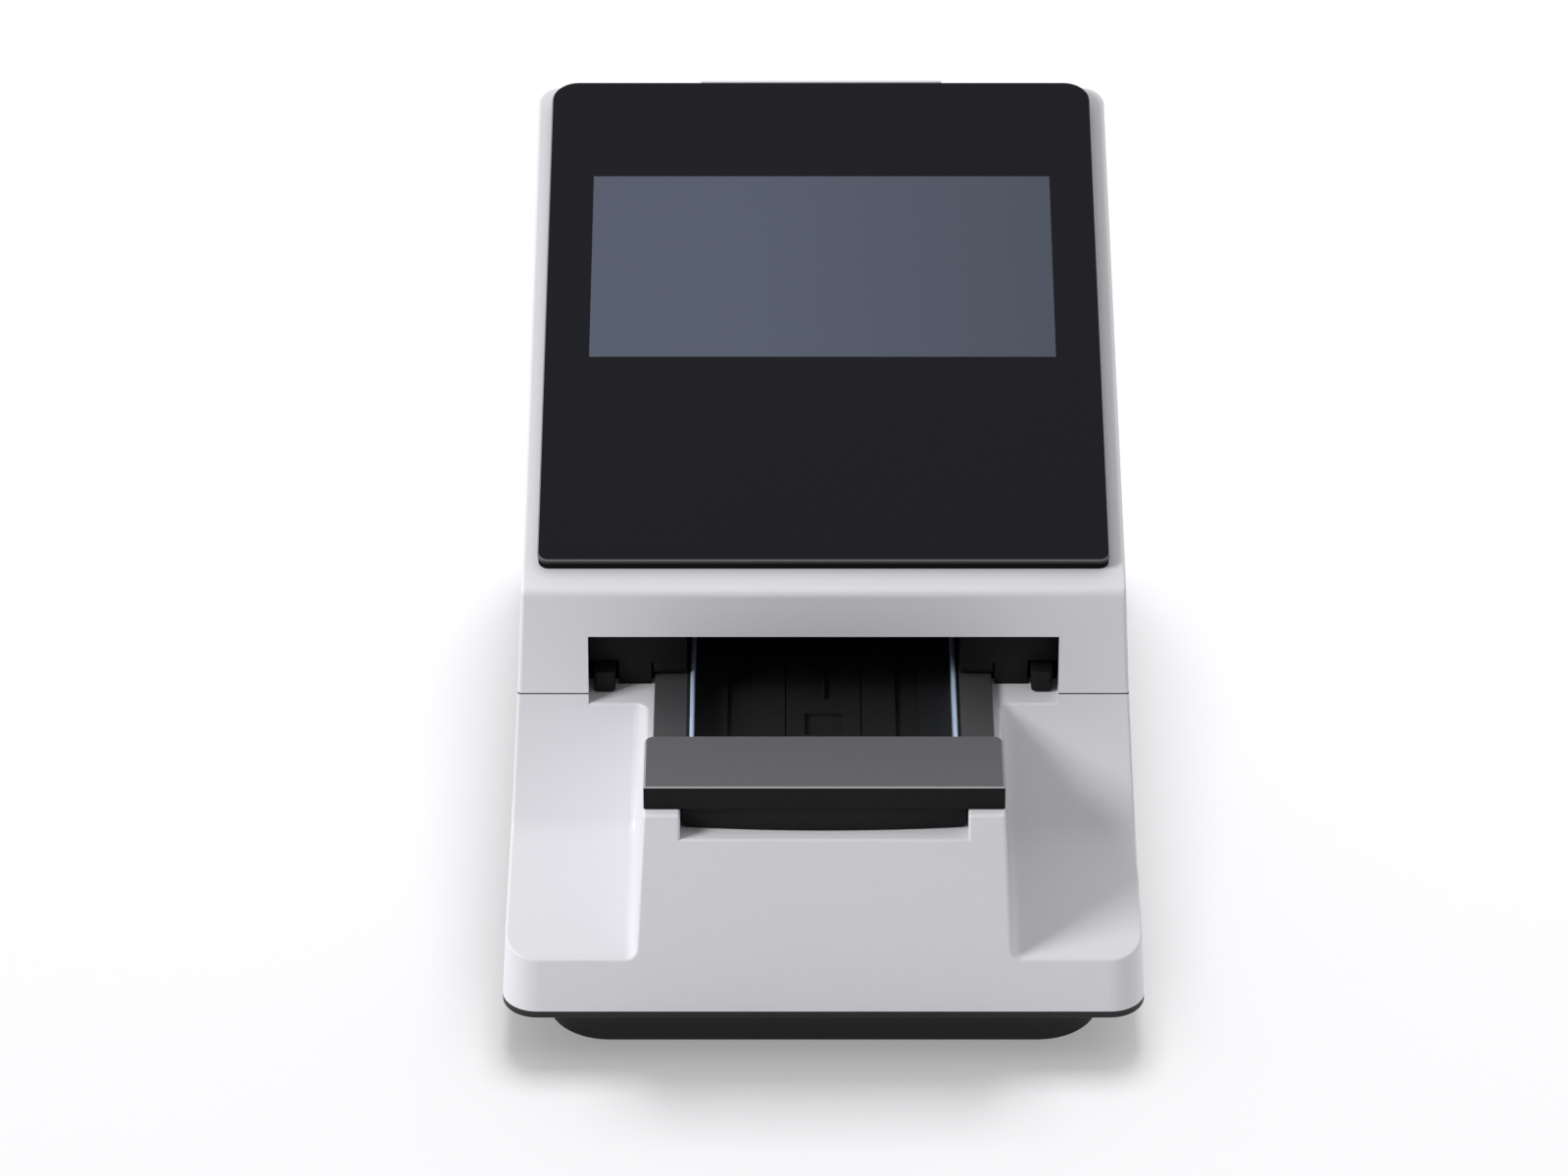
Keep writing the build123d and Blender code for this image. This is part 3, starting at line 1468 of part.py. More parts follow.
with BuildPart() as head_lens:
    with BuildSketch(Plane.XY.offset(head_z + lens_recess)):
        with Locations((0, lens_y)):
            Circle(lens_radius)
    extrude(amount=-lens_length)
    chamfer(head_lens.edges().group_by(Axis.Z)[0], gap)
head_lens.part.label = "head_lens"
export_step(head_lens.part, "parts/head_lens.step")

with BuildPart() as head_board:
    with BuildSketch(Plane.XY.offset(head_z + head_height)):
        with Locations((0, head_y + head_depth / 2)):
            Rectangle(head_width - 2 * head_edge, head_depth - 2 * head_edge)
    extrude(amount=head_board_thickness)
head_board.part.label = "head_board"
export_step(head_board.part, "parts/head_board.step")

# Head motor on the plate, with its two pulleys and its belt
with BuildPart() as head_motor:
    with BuildSketch(Plane.XY.offset(plate_z + optics_plate)):
        with Locations((-head_pulley_x, head_pulley_y)):
            Circle(motor_radius)
    extrude(amount=head_motor_length)
    fillet(head_motor.edges().group_by(Axis.Z)[-1], motor_edge)
    with BuildSketch(Plane.XY.offset(plate_z + optics_plate)):
        with Locations((-head_pulley_x, head_pulley_y)):
            Circle(motor_shaft)
    extrude(amount=head_pulley_z - plate_z - optics_plate)
head_motor.part.label = "head_motor"
export_step(head_motor.part, "parts/head_motor.step")

with BuildPart() as head_drive_pulley:
    add(pulley(Plane((-head_pulley_x, head_pulley_y, head_pulley_z)), motor_shaft + shaft_play))
head_drive_pulley.part.label = "head_drive_pulley"
export_step(head_drive_pulley.part, "parts/head_drive_pulley.step")

with BuildPart() as head_idler_pulley:
    add(pulley(Plane((head_pulley_x, head_pulley_y, head_pulley_z)), pulley_bore + shaft_play))
head_idler_pulley.part.label = "head_idler_pulley"
export_step(head_idler_pulley.part, "parts/head_idler_pulley.step")

with BuildPart() as head_belt:
    add(belt_loop(Plane((0, head_pulley_y, belt_z)), 2 * head_pulley_x))
head_belt.part.label = "head_belt"
export_step(head_belt.part, "parts/head_belt.step")

# Paper bay: a cradle for the roll, with a narrower head that holds the printing parts
platen_y = rear_y - platen_inset
platen_z = rear_top_z - platen_drop
roll_z = platen_z - roll_drop
cradle_z = roll_z + cradle_room - gap
cradle_radius = roll_radius + cradle_room
bay_outer = bay_half_width + bay_wall
bay_rear_y = rear_y - bay_rear_inset
bay_head_y = bay_rear_y - bay_head_depth + bay_wall
idler_distance = gear_module * (platen_teeth + idler_teeth) / 2
pinion_distance = gear_module * (idler_teeth + pinion_teeth) / 2


def stepped(start, angle, distance):
    """A point on the YZ plane, a distance from the start in a direction."""
    turn = math.radians(angle)
    return (start[0] + distance * math.cos(turn), start[1] + distance * math.sin(turn))


platen_centre = (platen_y, platen_z)
idler_centre = stepped(platen_centre, idler_angle, idler_distance)
pinion_centre = stepped(idler_centre, pinion_angle, pinion_distance)


def bay_outline(inset):
    """Side view of the bay, moved in by inset, and open to the rear for the inside."""
    front = bay_front_y + inset
    head = bay_head_y + inset
    end = bay_rear_y + inset
    step_z = cradle_z + bay_front_rise - inset
    top = platen_z + bay_head_rise - inset
    sill_z = cradle_z - cradle_radius + bay_sill - bay_wall + inset
    upper_points = [(front, cradle_z), (front, step_z), (head - bay_wall, step_z), (head, top)]
    rear_points = [(end, top), (end, sill_z), (roll_y, sill_z), (roll_y, cradle_z)]
    with BuildSketch(Plane.YZ) as outline:
        with BuildLine():
            Polyline(*upper_points, *rear_points, close=True)
        make_face()
        with Locations((roll_y, cradle_z)):
            Circle(cradle_radius + bay_wall - inset)
    return outline.sketch


with BuildPart() as paper_bay:
    extrude(bay_outline(0), amount=bay_outer, both=True)
    extrude(bay_outline(bay_wall), amount=bay_half_width, both=True, mode=Mode.SUBTRACT)
    for x_range in both_sides(bay_half_width, bay_flange_half):
        block(
            x_range,
            (bay_rear_y, inner_rear_y),
            (rear_top_z - bay_flange_drop, platen_z + bay_head_rise),
        )
    with BuildSketch(Plane.YZ.offset(-bay_outer)):
        with Locations(idler_centre):
            Circle(gear_post_radius)
    extrude(amount=-gear_gap - gear_width)
    with BuildSketch(Plane.YZ):
        with Locations(platen_centre):
            Circle(platen_shaft + shaft_play)
    extrude(amount=bay_outer, both=True, mode=Mode.SUBTRACT)
paper_bay.part.label = "paper_bay"
export_step(paper_bay.part, "parts/paper_bay.step")

# Paper roll, lying loose in its cradle
with BuildPart() as paper_roll:
    with BuildSketch(Plane.YZ):
        with Locations((roll_y, roll_z)):
            Circle(roll_radius)
            Circle(roll_core, mode=Mode.SUBTRACT)
    extrude(amount=roll_width / 2, both=True)
paper_roll.part.label = "paper_roll"
export_step(paper_roll.part, "parts/paper_roll.step")

# Platen roller and print head
with BuildPart() as platen_roller:
    with BuildSketch(Plane.YZ):
        with Locations(platen_centre):
            Circle(platen_radius)
    extrude(amount=platen_length / 2, both=True)
    with BuildSketch(Plane.YZ.offset(-bay_outer - gear_gap - gear_width)):
        with Locations(platen_centre):
            Circle(platen_shaft)
    extrude(amount=2 * bay_outer + 2 * gear_gap + gear_width)
platen_roller.part.label = "platen_roller"
export_step(platen_roller.part, "parts/platen_roller.step")

print_head_rear = platen_y - platen_radius - gap
with BuildPart() as print_head:
    block(
        around(0, 2 * bay_half_width),
        (print_head_rear - print_head_thickness, print_head_rear),
        around(platen_z - gear_gap, print_head_height),
    )
print_head.part.label = "print_head"
export_step(print_head.part, "parts/print_head.step")


def gear_outline(plane, teeth, centre, phase, bore):
    """Face of a spur gear with one tooth at the phase angle, and a bore."""
    pitch_radius = gear_module * teeth / 2
    root = pitch_radius - 1.25 * gear_module
    tip = pitch_radius + gear_module
    points = []
    for tooth in range(teeth):
        for share, radius in ((-0.3, root), (-0.13, tip), (0.13, tip), (0.3, root)):
            points.append(stepped(centre, phase + (tooth + share) * 360 / teeth, radius))
    with BuildSketch(plane) as outline:
        with BuildLine():
            Polyline(*points, close=True)
        make_face()
        with Locations(centre):
            Circle(bore, mode=Mode.SUBTRACT)
    return outline.sketch


def meshed_phase(phase, teeth, direction, next_teeth):
    """Angle of a tooth of the next gear that falls in a gap of this one."""
    pitch = 360 / teeth
    share = (direction - phase) % pitch / pitch - 1 / 2
    return direction + 180 + share * 360 / next_teeth


# Three gears from the printer motor up to the platen, and the plate that carries it
gear_plane = Plane.YZ.offset(-bay_outer - gear_gap - gear_width)
idler_phase = meshed_phase(0, platen_teeth, idler_angle, idler_teeth)
pinion_phase = meshed_phase(idler_phase, idler_teeth, pinion_angle, pinion_teeth)
with BuildPart() as platen_gear:
    extrude(gear_outline(gear_plane, platen_teeth, platen_centre, 0, platen_shaft), amount=gear_width)
platen_gear.part.label = "platen_gear"
export_step(platen_gear.part, "parts/platen_gear.step")

with BuildPart() as idler_gear:
    idler_bore = gear_post_radius + shaft_play
    extrude(gear_outline(gear_plane, idler_teeth, idler_centre, idler_phase, idler_bore), amount=gear_width)
idler_gear.part.label = "idler_gear"
export_step(idler_gear.part, "parts/idler_gear.step")

with BuildPart() as motor_pinion:
    pinion_bore = motor_shaft + shaft_play
    extrude(gear_outline(gear_plane, pinion_teeth, pinion_centre, pinion_phase, pinion_bore), amount=gear_width)
motor_pinion.part.label = "motor_pinion"
export_step(motor_pinion.part, "parts/motor_pinion.step")

plate_x = -bay_outer - 2 * gear_gap - gear_width
gear_plate_rear = bay_rear_y - gear_gap
with BuildPart() as gear_plate:
    for front, bottom, top in (
        (rear_y - gear_plate_inset, cradle_z, cradle_z + bay_front_rise),
        (bay_head_y, cradle_z + bay_front_rise, platen_z + bay_head_rise),
    ):
        block((plate_x - gear_plate_thickness, plate_x), (front, gear_plate_rear), (bottom, top))
    with BuildSketch(Plane.YZ.offset(plate_x)):
        with Locations(*[(platen_y + ahead, platen_z + rise) for ahead, rise in gear_posts]):
            Circle(gear_post_radius)
    extrude(amount=-plate_x - bay_outer)
    with BuildSketch(Plane.YZ.offset(plate_x)):
        with Locations(pinion_centre):
            Circle(motor_shaft + gap)
        with Locations(platen_centre):
            Circle(platen_shaft + gap)
    extrude(amount=-gear_plate_thickness, mode=Mode.SUBTRACT)
gear_plate.part.label = "gear_plate"
export_step(gear_plate.part, "parts/gear_plate.step")

with BuildPart() as printer_motor:
    with BuildSketch(Plane.YZ.offset(plate_x - gear_plate_thickness)):
        with Locations(pinion_centre):
            Circle(printer_motor_radius)
    extrude(amount=-printer_motor_length)
    fillet(printer_motor.edges().group_by(Axis.X)[0], motor_edge)
    with BuildSketch(Plane.YZ.offset(plate_x - gear_plate_thickness)):
        with Locations(pinion_centre):
            Circle(motor_shaft)
    extrude(amount=gear_plate_thickness + gear_gap + gear_width)
printer_motor.part.label = "printer_motor"
export_step(printer_motor.part, "parts/printer_motor.step")

# Printer cover: a door at the rear, hinged at its foot, that stands a little above the housing
cover_half = cover_width / 2
cover_top = rear_top_z + cover_rise
with BuildPart() as printer_cover:
    block((-cover_half, cover_half), (rear_y - cover_thickness, rear_y), (hinge_z, cover_top))
    fillet(printer_cover.edges().filter_by(Axis.X).group_by(Axis.Z)[-1].group_by(Axis.Y)[-1], cover_edge)
    with BuildSketch(Plane.YZ):
        with Locations((hinge_y, hinge_z)):
            Circle(knuckle_radius)
    extrude(amount=cover_half, both=True)
    with BuildSketch(Plane.YZ):
        with Locations((hinge_y, hinge_z)):
            Circle(cover_pin)
    extrude(amount=cover_half + hinge_pin_reach, both=True)
printer_cover.part.label = "printer_cover"
export_step(printer_cover.part, "parts/printer_cover.step")
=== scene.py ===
import json
import math

import bmesh
import bpy
from mathutils import Matrix, Vector

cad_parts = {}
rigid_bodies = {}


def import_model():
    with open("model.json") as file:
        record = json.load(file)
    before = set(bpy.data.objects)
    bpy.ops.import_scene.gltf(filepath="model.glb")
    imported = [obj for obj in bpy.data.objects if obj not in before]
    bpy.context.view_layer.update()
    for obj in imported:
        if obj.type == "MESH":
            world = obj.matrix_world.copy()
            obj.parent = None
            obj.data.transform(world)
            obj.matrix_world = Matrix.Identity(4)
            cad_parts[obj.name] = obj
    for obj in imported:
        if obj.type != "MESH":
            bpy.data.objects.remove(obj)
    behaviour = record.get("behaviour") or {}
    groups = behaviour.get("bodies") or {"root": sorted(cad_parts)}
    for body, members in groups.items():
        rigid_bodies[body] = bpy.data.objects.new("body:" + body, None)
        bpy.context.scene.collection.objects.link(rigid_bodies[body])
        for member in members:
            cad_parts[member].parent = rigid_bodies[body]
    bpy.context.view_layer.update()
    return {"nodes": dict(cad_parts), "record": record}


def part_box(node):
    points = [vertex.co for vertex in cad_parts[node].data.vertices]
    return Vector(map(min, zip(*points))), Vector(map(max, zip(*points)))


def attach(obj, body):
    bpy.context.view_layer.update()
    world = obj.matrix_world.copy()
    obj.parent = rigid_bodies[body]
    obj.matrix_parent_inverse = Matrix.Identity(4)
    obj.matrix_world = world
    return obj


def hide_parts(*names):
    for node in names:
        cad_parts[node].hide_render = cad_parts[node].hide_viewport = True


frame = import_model()
nodes = frame["nodes"]
slotOf = {part["node"]: part["material_slot"] for part in frame["record"]["subparts"]}
bodyOf = {node: body for body, owned in frame["record"]["behaviour"]["bodies"].items() for node in owned}
mm = 0.001
print("frame loaded,", len(nodes), "nodes")


# helpers for materials
def linear(hexText, alpha=1.0):
    channels = [int(hexText[i:i + 2], 16) / 255 for i in (1, 3, 5)]
    bent = [c / 12.92 if c <= 0.04045 else ((c + 0.055) / 1.055) ** 2.4 for c in channels]
    return (*bent, alpha)


def addNode(tree, kind, settings=None, links=None):
    node = tree.nodes.new("ShaderNode" + kind)
    for name, value in (settings or {}).items():
        if isinstance(name, int) or name in node.inputs:
            node.inputs[name].default_value = value
        else:
            setattr(node, name, value)
    for name, source in (links or {}).items():
        tree.links.new(source, node.inputs[name])
    return node


def startMaterial(name, shaderSettings):
    material = bpy.data.materials.new(name)
    material.use_nodes = True
    tree = material.node_tree
    shader = tree.nodes["Principled BSDF"]
    for socket, value in shaderSettings.items():
        shader.inputs[socket].default_value = value
    place = addNode(tree, "TexCoord").outputs["Object"]
    return material, tree, shader, place


def mouldedPlastic(name, look):
    # spark-eroded grain in the bump, and a faint cloudiness that large moulded faces have
    material, tree, shader, place = startMaterial(name, {
        "Roughness": look["roughness"], "IOR": 1.53, "Specular IOR Level": look.get("specular", 0.5)})
    grain = addNode(tree, "TexNoise", {"Scale": 1 / (look["grain"] * mm), "Detail": 2.0, "Roughness": 0.6},
                    {"Vector": place})
    bump = addNode(tree, "Bump", {"Strength": look["bump"], "Distance": look["grain"] * 0.12 * mm},
                   {"Height": grain.outputs["Fac"]})
    tree.links.new(bump.outputs["Normal"], shader.inputs["Normal"])
    cloud = addNode(tree, "TexNoise", {"Scale": 1 / (look["cloud"] * mm), "Detail": 3.0}, {"Vector": place})
    tint = addNode(tree, "Mix", {"data_type": "RGBA", 6: linear(look["dark"]), 7: linear(look["light"])},
                   {0: cloud.outputs["Fac"]})
    if "seam" in look:
        # painted shade in the groove just below the height of a seam
        height = addNode(tree, "SeparateXYZ", {}, {"Vector": place})
        inSeam = addNode(tree, "Math", {"operation": "COMPARE", 1: look["seam"] - 0.2 * mm, 2: 0.28 * mm},
                         {0: height.outputs["Z"]})
        tint = addNode(tree, "Mix", {"data_type": "RGBA", 7: linear(look["shade"])},
                       {0: inSeam.outputs[0], 6: tint.outputs[2]})
    if "paintedSheen" in look:
        # painted light: a brighter tint painted where the face turns over at the edge (painted highlight), a
        # lighter one where it looks up (painted sheen)
        facing = addNode(tree, "SeparateXYZ", {}, {"Vector": addNode(tree, "NewGeometry").outputs["Normal"]})
        edgeHighlightMask = addNode(tree, "MapRange", {"From Min": 0.35, "From Max": 0.6},
                         {"Value": facing.outputs["Z"]})
        tint = addNode(tree, "Mix", {"data_type": "RGBA", 7: linear(look["edge"])},
                       {0: edgeHighlightMask.outputs["Result"], 6: tint.outputs[2]})
        topSheenMask = addNode(tree, "MapRange", {"From Min": 0.86, "From Max": 0.97},
                          {"Value": facing.outputs["Z"]})
        tint = addNode(tree, "Mix", {"data_type": "RGBA", 7: linear(look["paintedSheen"])},
                       {0: topSheenMask.outputs["Result"], 6: tint.outputs[2]})
    tree.links.new(tint.outputs[2], shader.inputs["Base Color"])
    return material


# ABS, moulded in a finely eroded tool: satin white with a cool cast, no visible gloss spots
whiteAbs = mouldedPlastic("white_abs_moulded", {
    "light": "#e3e2e7", "dark": "#dedde2", "roughness": 0.42, "grain": 0.9, "bump": 0.25, "cloud": 60})
# the same on the lower shell, with painted shade in the seam groove below the tower
seamAbs = mouldedPlastic("white_abs_seam_painted_shade", {
    "light": "#e3e2e7", "dark": "#dedde2", "roughness": 0.42, "grain": 0.9, "bump": 0.25, "cloud": 60,
    "seam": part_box("lower_housing")[1].z, "shade": "#6b5f5c"})
# ABS, moulded: dark grey pan, duller than the housing
graphiteAbs = mouldedPlastic("graphite_abs_moulded", {
    "light": "#161617", "dark": "#121213", "roughness": 0.55, "grain": 0.9, "bump": 0.35, "cloud": 40,
    "specular": 0.35})
# ABS, moulded with a coarser grain: black, greyer at low angles, on the rear panel and the switch
blackAbs = mouldedPlastic("black_abs_moulded", {
    "light": "#151517", "dark": "#101012", "roughness": 0.42, "grain": 1.1, "bump": 0.6, "cloud": 25})
# ABS, moulded black: the drawer handle, its upper side a lighter satin by painted sheen and its edge brighter
# by a painted highlight
handleAbs = mouldedPlastic("handle_abs_moulded", {
    "light": "#0c0c0d", "dark": "#0a0a0b", "roughness": 0.5, "grain": 0.8, "bump": 0.25, "cloud": 30,
    "specular": 0.15, "paintedSheen": "#5d5d62", "edge": "#a2a1a3"})
# ABS, moulded with a deep dull grain: the bezel, the darkest part of the opening
bezelAbs = mouldedPlastic("bezel_abs_moulded", {
    "light": "#0b0b0c", "dark": "#080809", "roughness": 0.75, "grain": 0.9, "bump": 0.5, "cloud": 25,
    "specular": 0.25})
# ABS, moulded and dull: the tray, a shade lighter than the bezel round it
trayAbs = mouldedPlastic("tray_abs_moulded", {
    "light": "#1d1d1f", "dark": "#19191b", "roughness": 0.6, "grain": 1.0, "bump": 0.5, "cloud": 20,
    "specular": 0.35})
# polyamide, moulded and rubbed smooth: satin grey arms beside the tray
armNylon = mouldedPlastic("arm_polyamide_moulded", {
    "light": "#464648", "dark": "#3d3d3f", "roughness": 0.45, "grain": 0.8, "bump": 0.25, "cloud": 30})
# filled epoxy, moulded: chips and plugs
mouldedEpoxy = mouldedPlastic("epoxy_moulded", {
    "light": "#1d1e20", "dark": "#16171a", "roughness": 0.5, "grain": 0.5, "bump": 0.3, "cloud": 8})
# acetal, moulded: pulleys and gears, waxy off-white
acetal = mouldedPlastic("acetal_moulded", {
    "light": "#e4e1d6", "dark": "#dad6ca", "roughness": 0.35, "grain": 0.6, "bump": 0.15, "cloud": 10})
# barium-filled plastic: matt reference white
referenceWhite = mouldedPlastic("reference_white_pressed", {
    "light": "#f4f4f2", "dark": "#efefec", "roughness": 0.85, "grain": 0.4, "bump": 0.3, "cloud": 6})
# nitrile rubber, moulded: feet and belts, dull
nitrileRubber = mouldedPlastic("nitrile_rubber_moulded", {
    "light": "#1c1c1d", "dark": "#161617", "roughness": 0.8, "grain": 0.7, "bump": 0.5, "cloud": 9})
# acrylic foam, cut: closed cells at the cut edge
foamTape = mouldedPlastic("acrylic_foam_cut", {
    "light": "#0b0b0c", "dark": "#070708", "roughness": 0.95, "grain": 0.3, "bump": 0.8, "cloud": 3,
    "specular": 0.15})


def rolledMetal(name, look):
    # metal, with streaks along one axis from rolling, turning or grinding
    material, tree, shader, place = startMaterial(name, {
        "Metallic": look.get("metallic", 1.0), "Anisotropic": look.get("anisotropic", 0.3)})
    stretch = addNode(tree, "Mapping", {"Scale": tuple(1 / (size * mm) for size in look["streak"])},
                      {"Vector": place})
    streak = addNode(tree, "TexNoise", {"Scale": 1.0, "Detail": 2.0}, {"Vector": stretch.outputs["Vector"]})
    tint = addNode(tree, "Mix", {"data_type": "RGBA", 6: linear(look["dark"]), 7: linear(look["light"])},
                   {0: streak.outputs["Fac"]})
    tree.links.new(tint.outputs[2], shader.inputs["Base Color"])
    gloss = addNode(tree, "MapRange", {"To Min": look["roughness"] - 0.05,
                                       "To Max": look["roughness"] + 0.08}, {"Value": streak.outputs["Fac"]})
    tree.links.new(gloss.outputs["Result"], shader.inputs["Roughness"])
    bump = addNode(tree, "Bump", {"Strength": 0.2, "Distance": 0.01 * mm}, {"Height": streak.outputs["Fac"]})
    tree.links.new(bump.outputs["Normal"], shader.inputs["Normal"])
    return material


# spring steel, drawn: the tray's rails, coloured light blue-white as a painted highlight, a light blue line
# along each side
railSteelPaintedHighlight = rolledMetal("steel_drawn_painted_highlight", {
    "light": "#c9dcf2", "dark": "#b6cbe4", "roughness": 0.5, "streak": (0.6, 9, 0.6), "metallic": 0.25})
# steel sheet, rolled and zinc-plated: grey with streaks across the unit
sheetSteel = rolledMetal("zinc_sheet_rolled", {
    "light": "#b4b6ba", "dark": "#9a9ca1", "roughness": 0.34, "streak": (12, 0.5, 0.5)})
# steel, ground and polished: the guide shafts, bright with a cold cast
polishedSteel = rolledMetal("steel_ground_polished", {
    "light": "#dde2ea", "dark": "#cdd3dc", "roughness": 0.14, "streak": (0.6, 9, 0.6)})
# brass, turned: fine rings up the standoffs
turnedBrass = rolledMetal("brass_turned", {
    "light": "#d2b068", "dark": "#bd9a52", "roughness": 0.24, "streak": (8, 8, 0.4)})
# copper alloy, tinned: socket shells
tinnedShell = rolledMetal("tinned_shell_pressed", {
    "light": "#cfd2d6", "dark": "#bcbfc4", "roughness": 0.22, "streak": (6, 6, 0.6)})
# steel, deep-drawn and plated: motor cans
drawnCan = rolledMetal("motor_can_drawn", {
    "light": "#aeb0b4", "dark": "#93959a", "roughness": 0.28, "streak": (0.5, 10, 10)})


# glass, polished, with black ceramic ink fired on its back: near black, mirror-like but weak
inkedGlass, tree, shader, place = startMaterial("inked_glass_polished", {
    "Roughness": 0.07, "IOR": 1.52})
inkDepth = addNode(tree, "TexNoise", {"Scale": 1 / (90 * mm), "Detail": 1.0}, {"Vector": place})
inkTint = addNode(tree, "Mix", {"data_type": "RGBA", 6: linear("#0b0c13"), 7: linear("#0d0e16")},
                  {0: inkDepth.outputs["Fac"]})
# its edges are ground: a thin lighter line painted round the pane, where the normal turns off the slope's; it
# is the frosted ground edge and also a painted highlight
slopeTurn = math.radians(15.1)
paneNormal = addNode(tree, "VectorMath", {"operation": "DOT_PRODUCT",
                                          1: (0.0, -math.sin(slopeTurn), math.cos(slopeTurn))},
                     {0: addNode(tree, "NewGeometry").outputs["Normal"]})
ground = addNode(tree, "MapRange", {"From Min": 0.97, "From Max": 0.8},
                 {"Value": paneNormal.outputs["Value"]})
notSide = addNode(tree, "MapRange", {"From Min": 0.2, "From Max": 0.5},
                  {"Value": paneNormal.outputs["Value"]})
groundEdgeAndHighlight = addNode(tree, "Math", {"operation": "MULTIPLY"},
                     {0: ground.outputs["Result"], 1: notSide.outputs["Result"]})
edgeTint = addNode(tree, "Mix", {"data_type": "RGBA", 7: linear("#68686c")},
                   {0: groundEdgeAndHighlight.outputs[0], 6: inkTint.outputs[2]})
tree.links.new(edgeTint.outputs[2], shader.inputs["Base Color"])

# liquid crystal panel behind bonded glass, switched off: slate blue, with painted shade making it a little
# darker towards the right
panelGlass, tree, shader, place = startMaterial("bonded_panel_polished", {
    "Roughness": 0.22, "IOR": 1.5, "Specular IOR Level": 0.35})
alongWidth = addNode(tree, "SeparateXYZ", {}, {"Vector": place})
fade = addNode(tree, "MapRange", {"From Min": -0.02, "From Max": 0.08}, {"Value": alongWidth.outputs["X"]})
fadeTint = addNode(tree, "Mix", {"data_type": "RGBA", 6: linear("#545b6b"), 7: linear("#4c5260")},
                   {0: fade.outputs["Result"]})
tree.links.new(fadeTint.outputs[2], shader.inputs["Base Color"])

# the panel itself: a metal frame round a dark cell
panelFrame = mouldedPlastic("panel_frame_pressed", {
    "light": "#30353f", "dark": "#2a2f38", "roughness": 0.4, "grain": 0.6, "bump": 0.2, "cloud": 30})

# optical glass, ground and coated: a faint blue lens
lensGlass, tree, shader, place = startMaterial("lens_glass_ground", {
    "Roughness": 0.04, "IOR": 1.52, "Coat Weight": 0.6, "Coat Roughness": 0.03})
lensDepth = addNode(tree, "TexNoise", {"Scale": 1 / (4 * mm)}, {"Vector": place})
lensTint = addNode(tree, "Mix", {"data_type": "RGBA", 6: linear("#3b4a66"), 7: linear("#4a5c7d")},
                   {0: lensDepth.outputs["Fac"]})
tree.links.new(lensTint.outputs[2], shader.inputs["Base Color"])

# glass-fibre board, etched and coated: green mask over copper tracks 0.8 mm apart
solderMask, tree, shader, place = startMaterial("board_etched_coated", {"Roughness": 0.32, "IOR": 1.5})
tracks = addNode(tree, "TexBrick", {
    "Scale": 1.0, "Mortar Size": 0.09, "Brick Width": 7.0, "Row Height": 0.8,
    "Color1": linear("#0f5230"), "Color2": linear("#114c2d"), "Mortar": linear("#1d7444")})
trackPlace = addNode(tree, "Mapping", {"Scale": (1 / mm, 1 / mm, 1 / mm)}, {"Vector": place})
tree.links.new(trackPlace.outputs["Vector"], tracks.inputs["Vector"])
tree.links.new(tracks.outputs["Color"], shader.inputs["Base Color"])
trackBump = addNode(tree, "Bump", {"Strength": 0.4, "Distance": 0.03 * mm}, {"Height": tracks.outputs["Fac"]})
tree.links.new(trackBump.outputs["Normal"], shader.inputs["Normal"])

# polyester film over flat conductors 1 mm apart, laminated
flatCable, tree, shader, place = startMaterial("film_cable_laminated", {"Roughness": 0.35})
wires = addNode(tree, "TexWave", {"wave_type": "BANDS", "bands_direction": "X", "Scale": 0.314 / mm},
                {"Vector": place})
wireTint = addNode(tree, "Mix", {"data_type": "RGBA", 6: linear("#c9c4b4"), 7: linear("#a98b4a")},
                   {0: wires.outputs["Fac"]})
tree.links.new(wireTint.outputs[2], shader.inputs["Base Color"])

# thermal paper, wound: matt, with its layers showing at the ends (drawn 0.7 mm apart, real ones are 0.06 mm)
thermalPaper, tree, shader, place = startMaterial("thermal_paper_wound", {"Roughness": 0.9})
rollMiddle = sum(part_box("paper_roll"), Vector()) / 2
aboutRoll = addNode(tree, "Mapping", {"Location": tuple(-c for c in rollMiddle)}, {"Vector": place})
layers = addNode(tree, "TexWave", {"wave_type": "RINGS", "rings_direction": "X", "Scale": 0.45 / mm,
                                   "Distortion": 0.6}, {"Vector": aboutRoll.outputs["Vector"]})
layerTint = addNode(tree, "Mix", {"data_type": "RGBA", 6: linear("#f1efe9"), 7: linear("#d8d5cc")},
                    {0: layers.outputs["Fac"]})
tree.links.new(layerTint.outputs[2], shader.inputs["Base Color"])

finishes = {
    "white_plastic": whiteAbs, "graphite_plastic": graphiteAbs, "black_plastic": blackAbs,
    "dark_handle": handleAbs, "black_glass": inkedGlass, "clear_glass": panelGlass, "display": panelFrame,
    "tape": foamTape, "rubber_black": nitrileRubber, "steel": sheetSteel, "polished_steel": polishedSteel,
    "brass": turnedBrass, "circuit_board": solderMask, "chip": mouldedEpoxy, "socket_shell": tinnedShell,
    "gear_plastic": acetal, "motor_can": drawnCan, "paper": thermalPaper, "reference_white": referenceWhite,
    "lens_glass": lensGlass, "ribbon_film": flatCable,
}
ownFinishes = {
    "opening_bezel": bezelAbs, "strip_tray": trayAbs, "drawer_arms": armNylon, "drawer_front": bezelAbs,
    "tray_rails": railSteelPaintedHighlight, "lower_housing": seamAbs, "strip_pusher": bezelAbs,
}
for nodeName, node in nodes.items():
    for slot in node.material_slots:
        slot.material = ownFinishes.get(nodeName) or finishes[slotOf[nodeName]]
print("materials made,", len(bpy.data.materials))


